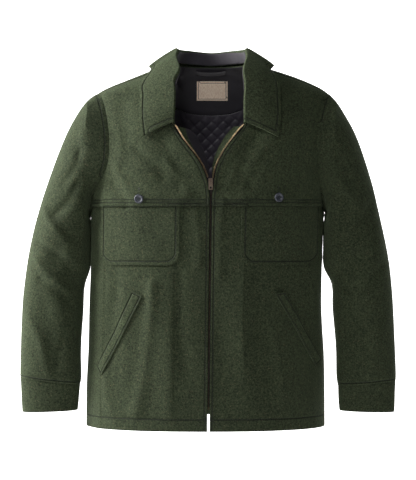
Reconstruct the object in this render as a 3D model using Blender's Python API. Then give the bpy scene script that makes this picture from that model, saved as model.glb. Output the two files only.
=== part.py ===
"""A wool coat with a zip, worn open at the neck and filled out: every cloth piece is a wall of its own.

Sizes and tables are in millimetres, angles in degrees. The front faces -Y, up is +Z, and the origin is
level with the shoulders at the neck. Left is -X and right is +X, as seen from the front.
"""

import math
from bisect import bisect_right

import bmesh
import bpy
from mathutils import Matrix, Vector
from mathutils.bvhtree import BVHTree

MM = 0.001

# Cloth and seam sizes
WALL = 2.6
YOKE_WALL = 2.4
POCKET_WALL = 2.2
LINING_WALL = 1.2
TAPE_WALL = 0.8
COLLAR_WALL = 4.0
CUFF_WALL = 3.2
LAY_GAP = 0.35
SEAM_INSET = 0.22
SHARP_ANGLE = 42
BODY_ROUNDNESS = 2.3
SLEEVE_ROUNDNESS = 2.15

# Body rings: level, half width, front depth, back depth, centre across
BODY = (
    (-760, 248.5, 126, 117, -8.5),
    (-674, 248.0, 124, 115, -8.5),
    (-599, 245.5, 121, 112, -7.5),
    (-511, 242.0, 119, 109, -9.0),
    (-423, 241.0, 119, 108, -7.0),
    (-306, 241.0, 121, 113, -5.0),
    (-260, 242.5, 122, 115, -4.0),
    (-200, 244.5, 121, 116, -2.0),
    (-160, 245.5, 117, 115, 0.5),
    (-130, 246.0, 110, 113, 2.5),
    (-100, 246.5, 97, 110, 4.5),
    (-80, 246.5, 85, 107, 6.0),
    (-68, 245.5, 77, 105, 6.8),
    (-61, 243.0, 73, 103, 6.0),
    (-45, 215.0, 63, 99, 9.0),
    (-30, 180.5, 52, 95, 10.5),
    (-15, 141.0, 38, 89, 7.5),
    (0, 99.0, 22, 80, 4.0),
    (8, 80.0, 12, 73, 4.0),
    (16, 62.0, 4, 64, 4.0),
)

# Front edges: level, edge left of the zip, edge right of it
FRONT_EDGES = (
    (-760, -5.7, -1.1),
    (-715, -5.3, -0.8),
    (-600, -4.2, 0.4),
    (-500, -3.2, 1.5),
    (-400, -2.0, 2.7),
    (-300, -0.9, 4.0),
    (-266, -0.9, 4.9),
    (-255, -3.6, 7.7),
    (-241, -7.4, 9.4),
    (-226, -13.0, 11.4),
    (-213, -19.0, 16.0),
    (-192, -33.0, 26.5),
    (-168, -52.0, 42.0),
    (-150, -64.0, 56.0),
    (-133, -74.0, 70.0),
)

# Neck seam on the fronts: level, left place, right place
NECK_SEAM = (
    (-133, -74, 70),
    (-98, -75, 73),
    (-52, -75, 77),
    (-18, -74, 80),
    (8, -72, 81),
)

# Shoulder seam, from the neck to the tip: angle from the front, level
SHOULDER_SEAM = ((68.0, 8), (69.0, -6), (70.5, -20), (73.0, -34), (76.0, -48), (80.0, -62))
SHOULDER_STEPS = 6
BACK_NECK_ANGLES = (108, 132, 156, 180, 204, 228, 252)
BACK_NECK_LEVEL = 5

# Armhole from the armpit to the tip: level in front, left place, right place, back level, back angle
ARMHOLE = (
    (-297, -243.0, 234.5, -297, 82),
    (-275, -240.0, 230.5, -275, 76.5),
    (-254, -231.5, 226.0, -254, 72.5),
    (-230, -216.5, 222.5, -230, 69.5),
    (-202, -207.5, 220.0, -202, 68),
    (-173, -205.5, 218.5, -173, 67.5),
    (-144, -207.0, 218.5, -144, 68),
    (-116, -211.5, 222.0, -113, 69.5),
    (-90, -217.0, 227.5, -85, 73),
    (-71, -224.5, 235.0, -65, 83),
)

# The shoulder's top is looked for between two levels, and the back's upper part starts at a third
RIDGE_RANGE = (-90.0, 16.0)
BACK_START = -310.0
RIDGE_SHARE = 0.8
RIDGE_DROP = 25.0

# Rows of the fronts and back below the yoke line: level at the zip, level at the side seam
LOW_ROWS = (
    (-750, -750),
    (-700, -700),
    (-650, -650),
    (-600, -600),
    (-550, -550),
    (-500, -500),
    (-455, -455),
    (-416, -416),
    (-408, -408),
    (-396, -396),
    (-362, -362),
    (-330, -330),
    (-308, -305),
    (-298, -297),
)
POCKET_BOTTOM_ROW = 7
YOKE_ROW = len(LOW_ROWS) - 1
BACK_HEM_LIFT = 7

# Rows above the yoke line: levels on a front's edge and neck seam, and shares of the way up the back
EDGE_LEVELS = (-298, -277, -256, -236, -214, -190, -162, -133, -90, -40, 8)
NECK_EDGE_ROW = 7
BACK_SHARES = (0.0, 0.09, 0.18, 0.27, 0.36, 0.45, 0.535, 0.615, 0.74, 0.87, 1.0)
LINING_ROW = YOKE_ROW + 7

# Columns of a front from the zip to the side seam: distance from the zip line at the pocket, or angle
FRONT_COLUMNS = (0, 30, 62, 70, 82, 112, 142, 172, 202, 214, 222)
SIDE_ANGLES = (77.0, 90.0)
POCKET_COLUMNS = (2, 10)
POCKET_LEVEL = -350
LAST_COLUMN = len(FRONT_COLUMNS) + len(SIDE_ANGLES) - 1
BACK_COLUMNS = 20

# Soft folds: piece, face, start across, start level, end across, end level, width, height
FOLDS = (
    ("body", "front", -14, -430, -8, -580, 15, -2.5),
    ("body", "front", -101, -470, -85, -700, 24, 4.0),
    ("body", "front", -128, -520, -134, -650, 15, -3.5),
    ("body", "front", 64, -430, 60, -600, 22, 3.5),
    ("body", "front", 117, -510, 121, -650, 16, -4.0),
    ("body", "front", 32, -540, 42, -700, 16, -3.0),
    ("body", "front", 155, -480, 182, -700, 24, 3.0),
    ("body", "front", -180, -85, -162, -205, 17, -3.5),
    ("body", "front", -180, -185, -122, -262, 20, 3.0),
    ("body", "front", -100, -160, -52, -250, 16, -3.0),
    ("body", "front", 150, -125, 100, -235, 22, 3.5),
    ("body", "front", 192, -120, 182, -205, 20, -2.4),
    ("body", "front", 100, -140, 38, -245, 15, -3.5),
    ("body", "front", -112, -330, -84, -390, 14, -2.0),
    ("body", "front", 135, -330, 150, -395, 15, 2.0),
    ("body", "back", -120, -330, -140, -700, 30, 2.5),
    ("body", "back", -62, -380, -70, -690, 26, -2.0),
    ("body", "back", 20, -350, 10, -720, 30, 2.0),
    ("body", "back", 88, -360, 110, -700, 28, -2.2),
    ("body", "back", 150, -320, 160, -640, 26, 2.2),
    ("body", "back", -160, -110, -120, -230, 26, 2.0),
    ("body", "back", 160, -110, 124, -230, 26, 2.0),
    ("left", "front", -272, -150, -252, -215, 15, -5.0),
    ("left", "front", -316, -300, -282, -352, 14, -5.5),
    ("left", "front", -330, -352, -286, -405, 15, 4.0),
    ("left", "front", -318, -400, -276, -452, 13, -5.0),
    ("left", "front", -352, -480, -316, -590, 15, -4.0),
    ("left", "front", -304, -520, -290, -628, 16, 3.5),
    ("left", "back", -330, -380, -284, -440, 15, -4.5),
    ("left", "back", -300, -300, -276, -360, 16, 3.5),
    ("left", "back", -350, -500, -312, -600, 16, -3.5),
    ("right", "front", 276, -215, 262, -296, 14, -5.0),
    ("right", "front", 300, -262, 270, -334, 14, -4.5),
    ("right", "front", 306, -398, 266, -436, 12, -4.5),
    ("right", "front", 344, -376, 292, -474, 18, 4.5),
    ("right", "front", 290, -490, 316, -600, 15, -3.5),
    ("right", "back", 322, -370, 276, -430, 15, -4.5),
    ("right", "back", 296, -300, 270, -356, 16, 3.5),
    ("right", "back", 346, -500, 306, -590, 16, -3.5),
)

# Sleeve rings: outer place, outer level, inner place, inner level, half depth, middle in depth
SLEEVE_LEFT = (
    (-253, -74, -251.0, -307, 66, -12),
    (-278, -108, -251.0, -324, 68, -9),
    (-305, -160, -249.0, -354, 69, -6),
    (-337, -245, -248.6, -392, 68, -4),
    (-362, -325, -250.0, -425, 64, -5),
    (-380, -412, -261.0, -462, 60, -8),
    (-390, -505, -264.0, -522, 55, -12),
    (-392.5, -580, -268.0, -588, 49, -16),
    (-393.5, -632, -267.0, -643, 43, -19),
    (-393, -650, -269.5, -664, 35, -21),
)
SLEEVE_RIGHT = (
    (260, -74, 243.0, -308, 66, -12),
    (281, -106, 240.8, -324, 68, -9),
    (306, -152, 237.6, -354, 69, -6),
    (334, -235, 236.8, -392, 68, -4),
    (355, -320, 238.5, -424, 64, -5),
    (373, -412, 254.0, -458, 60, -8),
    (381, -505, 256.0, -515, 55, -12),
    (384, -580, 262.0, -586, 49, -16),
    (386, -638, 262.5, -641, 43, -19),
    (385, -657, 266.0, -667, 35, -21),
)
SLEEVE_STATIONS = (0, 1, 2, 3, 4, 4.5, 5, 5.5, 6, 6.5, 7, 8, 9, 10)
ARM_STEPS = 2 * (len(ARMHOLE) + 1)
ARMHOLE_GAP = 0.31
UNDERARM_LEAN = (0.2, 0.3, 0.5, 0.75)

# Cuff rings: outer place, outer level, inner place, inner level, half depth, middle in depth
CUFF_LEFT = (
    (-393.0, -650.35, -269.5, -664.35, 34, -21),
    (-391.5, -675, -271.5, -688, 30, -21),
    (-390.5, -700, -273.0, -706, 29, -21),
    (-389.0, -721, -274.5, -717, 28, -21),
)
CUFF_RIGHT = (
    (385.0, -657.35, 266.0, -667.35, 34, -21),
    (384.0, -680, 266.5, -690, 30, -21),
    (383.5, -702, 267.5, -706, 29, -21),
    (382.5, -721, 269.0, -718, 28, -21),
)

# Collar from the front end to the middle of the back: share of the half, face, neck place, neck level,
# roll across (towards the middle), roll in depth, roll rise, edge face, edge place, edge level
COLLAR_LEFT = (
    (0.0, "front", -74, -133, 1, -5, 5, "front", -136, -158),
    (0.17, "front", -75, -98, 4, -12, 11, "front", -141, -116),
    (0.36, "front", -75, -52, 7, -13, 19, "front", -141, -68),
    (0.5, "front", -74, -18, 10, -7, 20, "front", -133, -37),
    (0.59, "front", -73, 8, 10, -1, 21.5, "front", -118, -18),
    (0.645, "front", -75.5, 8, 9, 0.5, 22.5, "front", -118, -10.5),
    (0.75, "back", -62, 8, 7, 2, 26, "back", -96, -20),
    (0.87, "back", -36, 7, 1, 5, 29, "back", -56, -32),
    (1.0, "back", 4, 5, 0, 6, 29, "back", 4, -38),
)
COLLAR_RIGHT = (
    (0.0, "front", 70, -133, 1, -5, 5, "front", 136, -158),
    (0.17, "front", 73, -98, 4, -12, 11, "front", 142, -118),
    (0.36, "front", 77, -52, 8, -13, 18, "front", 142, -72),
    (0.5, "front", 80, -18, 12, -7, 20, "front", 136, -38),
    (0.59, "front", 82, 8, 10, -1, 21.5, "front", 121, -18),
    (0.645, "front", 83.5, 8, 8.5, 0.5, 22.5, "front", 121.5, -9),
    (0.75, "back", 72, 8, 8, 2, 25.5, "back", 101, -19),
    (0.87, "back", 44, 7, 2, 5, 29, "back", 64, -32),
    (1.0, "back", 4, 5, 0, 6, 29, "back", 4, -38),
)
COLLAR_STEPS = 15
COLLAR_LIFT = 7.8
STAND_LIFT = 1.0
STAND_OUT = 1.56
FALL_SHARES = (0.3, 0.62, 1.0)
ROLL_RADIUS = 2.6
FALL_BELLY = 2.0
STAND_LINING_SHARE = (0.13, 0.84)

# Facings and the left lining strip: level, left width, right width, lining strip width
INNER_STRIPS = (
    (-136, 21, 19, 10),
    (-150, 17, 18, 20),
    (-168, 10, 16, 27),
    (-192, 5, 13, 26),
    (-213, 3.4, 9, 18),
    (-233, 2.6, 4, 7),
)
FACING_WALL = 2.0
FACING_SLANT = 1.15

# Zip
TAPE_END_LEVEL = -715
TAPE_HIDDEN = 7.0
TAPE_GAP = 0.5
TAPE_SHOWN_OPEN = 3.4
TAPE_SHOWN_SHUT = 1.9
SLIDER_LEVEL = -247.0
SLIDER_CENTRE = 1.4
SLIDER_WIDTH = 8.8
SLIDER_HEIGHT = 12.5
PLATE_WALL = 1.4
LUG_WIDTH = 2.8
LUG_HEIGHT = 8.6
LUG_WALL = 1.3
TAB_WIDTH = 8.6
TAB_LENGTH = 18.0
TAB_WALL = 1.2
TAB_BAR = 1.3
TAB_SLOT_WIDTH = 4.4
TAB_SLOT_LENGTH = 5.4
TAB_HOLE = 4.2
TAB_HOLE_RISE = 4.4
TAB_HOLE_SIDES = 16
TAB_CORNER = 1.5
PLATE_CORNER = 1.6
LUG_CORNER = 0.35
HINGE_PLAY = 0.6
HINGE_OUT = 3.2
WEDGE_WIDTH = 1.8
WEDGE_START = 1.8
JOIN = 0.5
SLIDER_PLAY = 0.45

# Hand pocket welts: opening edge top and bottom, inner edge top and bottom (across, level)
WELTS = {
    "left": ((-157, -468), (-230, -623), (-136, -478), (-219, -640)),
    "right": ((150, -470), (228, -611), (131, -473), (214, -622)),
}
WELT_STEPS = 12
WELT_WALL = 2.4
WELT_GAP = 1.1

# Buttons: across, level
BUTTONS = {"left": (-141, -282), "right": (137, -279)}
BUTTON_PROFILE = (
    (0.0, 2.0),
    (3.9, 2.0),
    (5.4, 2.3),
    (6.6, 3.2),
    (8.0, 3.5),
    (9.2, 2.7),
    (9.4, 1.6),
    (8.2, 0.3),
    (0.0, 0.0),
)
BUTTON_STEPS = 20

# Quilted lining of the back
QUILT_PITCH = 12.5
QUILT_HALF = 6
QUILT_ROWS = 12
QUILT_END = -243.0
QUILT_PUFF = 1.6
QUILT_SIDE_ANGLES = (26.0, 38.0, 50.0)
QUILT_LOW_LEVELS = (-290, -345, -405, -470, -545, -630, -722)
QUILT_CENTRE = 4.0
QUILT_SEAM_GAP = 1.0
QUILT_SIDE_TOP = -96.0
QUILT_SIDE_SLOPE = 0.5
LINING_GAP = 1.3
LOW_LINING_GAP = 2.6
SIDE_LINING_GAP = 1.8

# Neck label and hanger loop
LABEL_CENTRE = (5, -42.5)
LABEL_SIZE = (67, 41)
LABEL_GAP = 0.6
LABEL_WALL = 0.8
LOOP_ENDS = (-30, 35)
LOOP_BOW = 3.0
LOOP_LEVEL = -3.5
LOOP_WIDTH = 7
LOOP_WALL = 1.4

# Finishes: base colour, roughness, metallic
FINISHES = {
    "shell_wool": ((0.026, 0.034, 0.021), 0.95, 0.0),
    "yoke_wool": ((0.030, 0.038, 0.024), 0.95, 0.0),
    "trim_wool": ((0.034, 0.043, 0.027), 0.95, 0.0),
    "dark_lining": ((0.014, 0.013, 0.017), 0.6, 0.0),
    "quilted_lining": ((0.017, 0.015, 0.020), 0.5, 0.0),
    "zip_tape": ((0.012, 0.012, 0.012), 0.9, 0.0),
    "zip_metal": ((0.55, 0.43, 0.31), 0.35, 1.0),
    "button_resin": ((0.035, 0.038, 0.048), 0.35, 0.0),
    "label_cloth": ((0.55, 0.40, 0.28), 0.85, 0.0),
}


class Curve:
    """A smooth curve without overshoot through (x, y) points."""

    def __init__(self, points):
        self.x = [float(p[0]) for p in points]
        self.y = [float(p[1]) for p in points]
        steps = [b - a for a, b in zip(self.x, self.x[1:])]
        rises = [(b - a) / h for a, b, h in zip(self.y, self.y[1:], steps)]
        self.slope = [rises[0]]
        for before, after in zip(rises, rises[1:]):
            same_way = before * after > 0
            self.slope.append(2 * before * after / (before + after) if same_way else 0.0)
        self.slope.append(rises[-1])

    def __call__(self, x):
        x = min(max(x, self.x[0]), self.x[-1])
        i = min(bisect_right(self.x, x) - 1, len(self.x) - 2)
        h = self.x[i + 1] - self.x[i]
        t = (x - self.x[i]) / h
        start = self.y[i] * (1 + 2 * t) * (1 - t) ** 2 + self.y[i + 1] * t * t * (3 - 2 * t)
        return start + h * (self.slope[i] * t * (1 - t) ** 2 - self.slope[i + 1] * t * t * (1 - t))


HALF_WIDTH = Curve([(row[0], row[1]) for row in BODY])
FRONT_DEPTH = Curve([(row[0], row[2]) for row in BODY])
BACK_DEPTH = Curve([(row[0], row[3]) for row in BODY])
CENTRE = Curve([(row[0], row[4]) for row in BODY])
EDGE = {
    "left": Curve([(row[0], row[1]) for row in FRONT_EDGES]),
    "right": Curve([(row[0], row[2]) for row in FRONT_EDGES]),
}
SIGN = {"left": -1, "right": 1}


def lerp(a, b, t):
    return a + (b - a) * t


def smoothstep(low, high, x):
    t = min(max((x - low) / (high - low), 0.0), 1.0)
    return t * t * (3 - 2 * t)


# The body's surface
def ring_point(angle, level):
    """Point of the body without folds: angle 0 is the front, 90 is +X, 180 the back."""
    s = math.sin(math.radians(angle))
    c = math.cos(math.radians(angle))
    k = (abs(s) ** BODY_ROUNDNESS + abs(c) ** BODY_ROUNDNESS) ** (-1 / BODY_ROUNDNESS)
    depth = FRONT_DEPTH(level) if c >= 0 else BACK_DEPTH(level)
    return Vector((CENTRE(level) + HALF_WIDTH(level) * k * s, -depth * k * c, level))


def ring_normal(angle, level):
    across = ring_point(angle + 0.5, level) - ring_point(angle - 0.5, level)
    up = ring_point(angle, level + 1) - ring_point(angle, level - 1)
    return across.cross(up).normalized()


def angle_at(x, level, face="front"):
    """Angle of the body's point at a place across, on its front or its back."""
    low, high = (-90.0, 90.0) if face == "front" else (270.0, 90.0)
    for _ in range(40):
        middle = (low + high) / 2
        if ring_point(middle, level).x < x:
            low = middle
        else:
            high = middle
    return (low + high) / 2


def ridge_level(x):
    """Level of the shoulder's top at a place across."""
    low, high = RIDGE_RANGE
    for _ in range(30):
        middle = (low + high) / 2
        if HALF_WIDTH(middle) > abs(x - CENTRE(middle)):
            low = middle
        else:
            high = middle
    return (low + high) / 2


def over_shoulder(x, climb):
    """Place on the back, or just over the shoulder's top, with a given level minus depth."""
    top = ridge_level(x)

    def place(share):
        if share < RIDGE_SHARE:
            level = lerp(BACK_START, top, share / RIDGE_SHARE)
            return angle_at(x, level, "back"), level
        level = lerp(top, top - RIDGE_DROP, (share - RIDGE_SHARE) / (1 - RIDGE_SHARE))
        return angle_at(x, level), level

    low, high = 0.0, 1.0
    for _ in range(26):
        middle = (low + high) / 2
        point = ring_point(*place(middle))
        if point.z - point.y < climb:
            low = middle
        else:
            high = middle
    angle, level = place((low + high) / 2)
    return (angle + 360 if angle < 0 else angle), level


def fold_height(piece, face, x, z):
    total = 0.0
    for name, side, x0, z0, x1, z1, width, height in FOLDS:
        if name != piece or side != face:
            continue
        start = Vector((x0, z0))
        run = Vector((x1, z1)) - start
        share = (Vector((x, z)) - start).dot(run) / run.length_squared
        near = start + run * min(max(share, 0.0), 1.0)
        distance = (Vector((x, z)) - near).length
        total += height * math.exp(-((distance / width) ** 2))
    return total


def body_point(angle, level, out=0.0):
    """Point of the body with its folds, moved out along the body's normal."""
    point = ring_point(angle, level)
    normal = ring_normal(angle, level)
    face = "front" if normal.y < 0 else "back"
    fade = smoothstep(0.25, 0.75, abs(normal.y))
    return point + normal * (out + fade * fold_height("body", face, point.x, point.z))


# Solids
def solid(name, finish, outer, inner, faces, location=Vector((0, 0, 0))):
    """One closed wall: the same faces on its outer and inner points, joined along their open edges.

    Its four-sided faces are all split the same way, so that walls on the same grid lie evenly.
    """
    mesh = bmesh.new()
    top = [mesh.verts.new((p - location) * MM) for p in outer]
    under = [mesh.verts.new((p - location) * MM) for p in inner]
    edges = set()
    for face in faces:
        mesh.faces.new([top[i] for i in face])
        mesh.faces.new([under[i] for i in (face[0], *reversed(face[1:]))])
        edges.update(zip(face, face[1:] + face[:1]))
    for a, b in sorted(edges):
        if (b, a) not in edges:
            mesh.faces.new((top[b], top[a], under[a], under[b]))
    loose = [v for v in mesh.verts if not v.link_faces]
    bmesh.ops.delete(mesh, geom=loose, context="VERTS")
    bmesh.ops.triangulate(mesh, faces=mesh.faces, quad_method="FIXED")
    return finish_mesh(name, finish, mesh, location)


def finish_mesh(name, finish, mesh, location):
    bmesh.ops.recalc_face_normals(mesh, faces=mesh.faces)
    data = bpy.data.meshes.new(name)
    mesh.to_mesh(data)
    mesh.free()
    data.shade_smooth()
    data.set_sharp_from_angle(angle=math.radians(SHARP_ANGLE))
    data.materials.append(material(finish))
    item = bpy.data.objects.new(name, data)
    item.location = location * MM
    bpy.context.collection.objects.link(item)
    return item


def material(finish):
    if finish in bpy.data.materials:
        return bpy.data.materials[finish]
    colour, roughness, metallic = FINISHES[finish]
    made = bpy.data.materials.new(finish)
    made.use_nodes = True
    shader = made.node_tree.nodes["Principled BSDF"]
    shader.inputs["Base Color"].default_value = (*colour, 1.0)
    shader.inputs["Roughness"].default_value = roughness
    shader.inputs["Metallic"].default_value = metallic
    return made


def grid_faces(rows, columns, closed=False):
    """Faces of a grid whose points run row by row."""
    faces = []
    for r in range(rows - 1):
        for c in range(columns if closed else columns - 1):
            after = (c + 1) % columns
            low, high = r * columns, (r + 1) * columns
            faces.append((low + c, low + after, high + after, high + c))
    return faces


def flat(rows):
    return [point for row in rows for point in row]


def grid_normals(rows, closed=False):
    """Normals of a grid of points from its rows and columns."""
    result = []
    count = len(rows[0])
    for r, row in enumerate(rows):
        line = []
        for c in range(count):
            after = row[(c + 1) % count] if closed else row[min(c + 1, count - 1)]
            before = row[c - 1] if closed or c > 0 else row[0]
            up = rows[min(r + 1, len(rows) - 1)][c] - rows[max(r - 1, 0)][c]
            line.append((after - before).cross(up).normalized())
        result.append(line)
    return result


# Panels
class Panel:
    """A grid of body points: rows upwards, columns across, with a normal at each."""

    def __init__(self, places):
        self.places = places
        self.rows = len(places)
        self.columns = len(places[0])
        self.points = [[body_point(*place) for place in row] for row in places]
        self.normals = [[ring_normal(*place) for place in row] for row in places]
        self.inset = [[Vector((0, 0, 0)) for _ in row] for row in places]

    def straighten_top(self):
        """Puts every second point of the top row halfway between its neighbours."""
        for grid in (self.points, self.normals):
            row = grid[-1]
            for c in range(1, self.columns - 1, 2):
                row[c] = (row[c - 1] + row[c + 1]) / 2

    def mirror_columns(self):
        for grid in (self.places, self.points, self.normals, self.inset):
            for row in grid:
                row.reverse()

    def inset_edges(self):
        """Draws the four borders in, so that neighbours leave a seam gap."""
        last_row, last_column = self.rows - 1, self.columns - 1
        for r in range(self.rows):
            for c in range(self.columns):
                inner_r = min(max(r, 1), last_row - 1)
                inner_c = min(max(c, 1), last_column - 1)
                for near_r, near_c in ((inner_r, c), (r, inner_c)):
                    step = self.points[near_r][near_c] - self.points[r][c]
                    if step.length > 0:
                        self.inset[r][c] += step.normalized() * SEAM_INSET

    def at(self, r, c, out):
        return self.points[r][c] + self.inset[r][c] + self.normals[r][c] * out

    def layer(self, out, first_row=0):
        """Rows of points from a row upwards, each moved out by out(row, column)."""
        rows = range(first_row, self.rows)
        return [[self.at(r, c, out(r, c)) for c in range(self.columns)] for r in rows]


def blend_patch(bottom, top, left, right, shares_across, shares_up):
    """Fills four borders, each a list of flat points, row by row."""
    rows = []
    for r, v in enumerate(shares_up):
        row = []
        for c, u in enumerate(shares_across):
            low_part = lerp(bottom[0], bottom[-1], u)
            high_part = lerp(top[0], top[-1], u)
            row.append(
                lerp(bottom[c], top[c], v) + lerp(left[r], right[r], u) - lerp(low_part, high_part, v)
            )
        rows.append(row)
    return rows


def seen_flat(place):
    """A place as it is seen from the front: across and level."""
    point = ring_point(*place)
    return Vector((point.x, point.z))


def climb_flat(place):
    """A place of the back as across and level minus depth, which goes on over the shoulder's top."""
    point = ring_point(*place)
    return Vector((point.x, point.z - point.y))


def front_panel(side):
    """Columns from the zip to the side seam and armhole, rows from the hem to the shoulder seam."""
    sign = SIGN[side]
    centre_line = (EDGE["left"](POCKET_LEVEL) + EDGE["right"](POCKET_LEVEL)) / 2
    angles = [angle_at(centre_line + sign * d, POCKET_LEVEL) for d in FRONT_COLUMNS]
    angles += [sign * a for a in SIDE_ANGLES]
    places = []
    for zip_level, side_level in LOW_ROWS:
        row = [(angle_at(EDGE[side](zip_level), zip_level), zip_level)]
        row += [(angle, lerp(zip_level, side_level, angle / angles[-1])) for angle in angles[1:]]
        places.append(row)
    column = 1 if side == "left" else 2
    right = [(angle_at(row[column], row[0]), row[0]) for row in ARMHOLE]
    right.append((sign * SHOULDER_SEAM[-1][0], SHOULDER_SEAM[-1][1]))
    places[-1][-1] = right[0]
    bottom = places[-1]
    neck = Curve([(row[0], row[column]) for row in NECK_SEAM])
    neck_start = NECK_SEAM[0][0]
    left = []
    for level in EDGE_LEVELS:
        left.append((angle_at(EDGE[side](level) if level <= neck_start else neck(level), level), level))
    top = [(sign * angle, level) for angle, level in shoulder_places(LAST_COLUMN)]
    left[-1] = top[0]
    borders = [[seen_flat(place) for place in line] for line in (bottom, top, left, right)]
    reach = borders[0][-1].x - borders[0][0].x
    shares = [(p.x - borders[0][0].x) / reach for p in borders[0]]
    steps = [r / (len(EDGE_LEVELS) - 1) for r in range(len(EDGE_LEVELS))]
    inside = blend_patch(*borders, shares, steps)
    places += fill_places(inside, (top, left, right), lambda p: (angle_at(p.x, p.y), p.y))
    panel = Panel(places)
    panel.straighten_top()
    if side == "left":
        panel.mirror_columns()
    return panel


def fill_places(inside, borders, to_place):
    """Places of a patch's rows above its first: the borders' own, and the others from the blend."""
    top, left, right = borders
    rows = []
    for r in range(1, len(inside) - 1):
        rows.append([left[r]] + [to_place(p) for p in inside[r][1:-1]] + [right[r]])
    return rows + [list(top)]


def shoulder_places(steps):
    """Places along the shoulder seam from the neck to the tip."""
    knots = [i / (len(SHOULDER_SEAM) - 1) for i in range(len(SHOULDER_SEAM))]
    angle = Curve(list(zip(knots, [p[0] for p in SHOULDER_SEAM])))
    level = Curve(list(zip(knots, [p[1] for p in SHOULDER_SEAM])))
    return [(angle(i / steps), level(i / steps)) for i in range(steps + 1)]


def back_panel():
    shoulder = shoulder_places(SHOULDER_STEPS)
    shares = [i / BACK_COLUMNS for i in range(BACK_COLUMNS + 1)]
    angles = [lerp(90, 270, share) for share in shares]
    places = []
    for _, level in LOW_ROWS:
        lift = BACK_HEM_LIFT * smoothstep(-560, -750, level)
        places.append([(a, level + lift * math.sin(math.radians(a - 90))) for a in angles])
    bottom = list(places[-1])
    first, last = ARMHOLE[0][4], ARMHOLE[0][3]
    bottom[0], bottom[-1] = (180 - first, last), (180 + first, last)
    places[-1] = bottom
    tip = shoulder[-1]
    left = [(180 - row[4], row[3]) for row in ARMHOLE] + [tip]
    right = [(180 + row[4], row[3]) for row in ARMHOLE] + [(360 - tip[0], tip[1])]
    neck_level = SHOULDER_SEAM[0][1]
    top = shoulder[::-1]
    for angle in BACK_NECK_ANGLES:
        dip = (neck_level - BACK_NECK_LEVEL) * math.sin(math.radians(angle - 90))
        top.append((angle, neck_level - dip))
    top += [(360 - angle, level) for angle, level in shoulder]
    borders = [[climb_flat(place) for place in line] for line in (bottom, top, left, right)]
    inside = blend_patch(*borders, shares, BACK_SHARES)
    places += fill_places(inside, (top, left, right), lambda p: over_shoulder(p.x, p.y))
    return Panel(places)


def column_from_zip(side, c):
    """Column counted from the zip: a left front's columns run the other way."""
    return c if side == "right" else LAST_COLUMN - c


def under_yoke(side, r, c):
    """How far a front lies below the body's surface where the yoke covers it."""
    step = column_from_zip(side, c)
    if r < YOKE_ROW:
        return 0.0
    ramp = smoothstep(YOKE_ROW - 0.2, YOKE_ROW + 2.4, r)
    if step == LAST_COLUMN:
        ramp = 1.0
    if step == LAST_COLUMN - 1:
        ramp = max(ramp, 0.6)
    return -(YOKE_WALL + LAY_GAP) * ramp


def yoke_lift(side, r, c):
    """How far the yoke's inside lies above the front: the pocket's top is between them."""
    step = column_from_zip(side, c)
    over_pocket = POCKET_COLUMNS[0] <= step <= POCKET_COLUMNS[1] and r <= YOKE_ROW + 1
    return LAY_GAP + (POCKET_WALL + LAY_GAP if over_pocket else 0.0)


def build_front(side, panel):
    outer = panel.layer(lambda r, c: under_yoke(side, r, c))
    inner = panel.layer(lambda r, c: under_yoke(side, r, c) - WALL)
    solid("front_" + side, "shell_wool", flat(outer), flat(inner), grid_faces(panel.rows, panel.columns))
    return outer, inner


def build_yoke(side, panel):
    def inside(r, c):
        return under_yoke(side, r, c) + yoke_lift(side, r, c)

    low = panel.layer(inside, YOKE_ROW)
    high = panel.layer(lambda r, c: inside(r, c) + YOKE_WALL, YOKE_ROW)
    solid("yoke_" + side, "yoke_wool", flat(high), flat(low), grid_faces(len(high), panel.columns))
    return high


def build_pocket(side, panel):
    """The pocket lies on its front: its lower corners are cut off."""
    first, last = sorted(column_from_zip(side, c) for c in POCKET_COLUMNS)
    rows = list(range(POCKET_BOTTOM_ROW, YOKE_ROW + 2))
    columns = list(range(first, last + 1))
    corner = {(POCKET_BOTTOM_ROW, first), (POCKET_BOTTOM_ROW, last)}
    corner |= {(POCKET_BOTTOM_ROW + 1, first), (POCKET_BOTTOM_ROW + 1, last)}
    corner |= {(POCKET_BOTTOM_ROW, first + 1), (POCKET_BOTTOM_ROW, last - 1)}
    outer, inner = [], []
    for r in rows:
        for c in columns:
            base = under_yoke(side, r, c) + LAY_GAP
            inner.append(panel.at(r, c, base))
            outer.append(panel.at(r, c, base + POCKET_WALL))
    faces = []
    for face in grid_faces(len(rows), len(columns)):
        kept = [i for i in face if (rows[i // len(columns)], columns[i % len(columns)]) not in corner]
        if len(kept) >= 3:
            faces.append(tuple(kept))
    solid("pocket_" + side, "shell_wool", outer, inner, faces)


def build_back(panel):
    outer = panel.layer(lambda r, c: 0)
    inner = panel.layer(lambda r, c: -WALL)
    solid("back", "shell_wool", flat(outer), flat(inner), grid_faces(panel.rows, panel.columns))


# Sleeves
def armhole_ring(front, back, side):
    """Armhole points in ring order, each with its step out of the panel and the panel's normal."""
    step = -1 if side == "left" else 1
    front_c = front.columns - 1 if side == "right" else 0
    back_c = 0 if side == "right" else back.columns - 1
    ring = []
    armpit = front.points[YOKE_ROW - 1][front_c]
    ring.append((armpit, Vector((0, 0, 1)), front.normals[YOKE_ROW - 1][front_c]))
    for r in range(YOKE_ROW, front.rows):
        out = front.points[r][front_c] - front.points[r][front_c - step]
        ring.append((front.points[r][front_c], out.normalized(), front.normals[r][front_c]))
    for r in range(back.rows - 2, YOKE_ROW - 1, -1):
        out = back.points[r][back_c] - back.points[r][back_c + step]
        ring.append((back.points[r][back_c], out.normalized(), back.normals[r][back_c]))
    return ring


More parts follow.
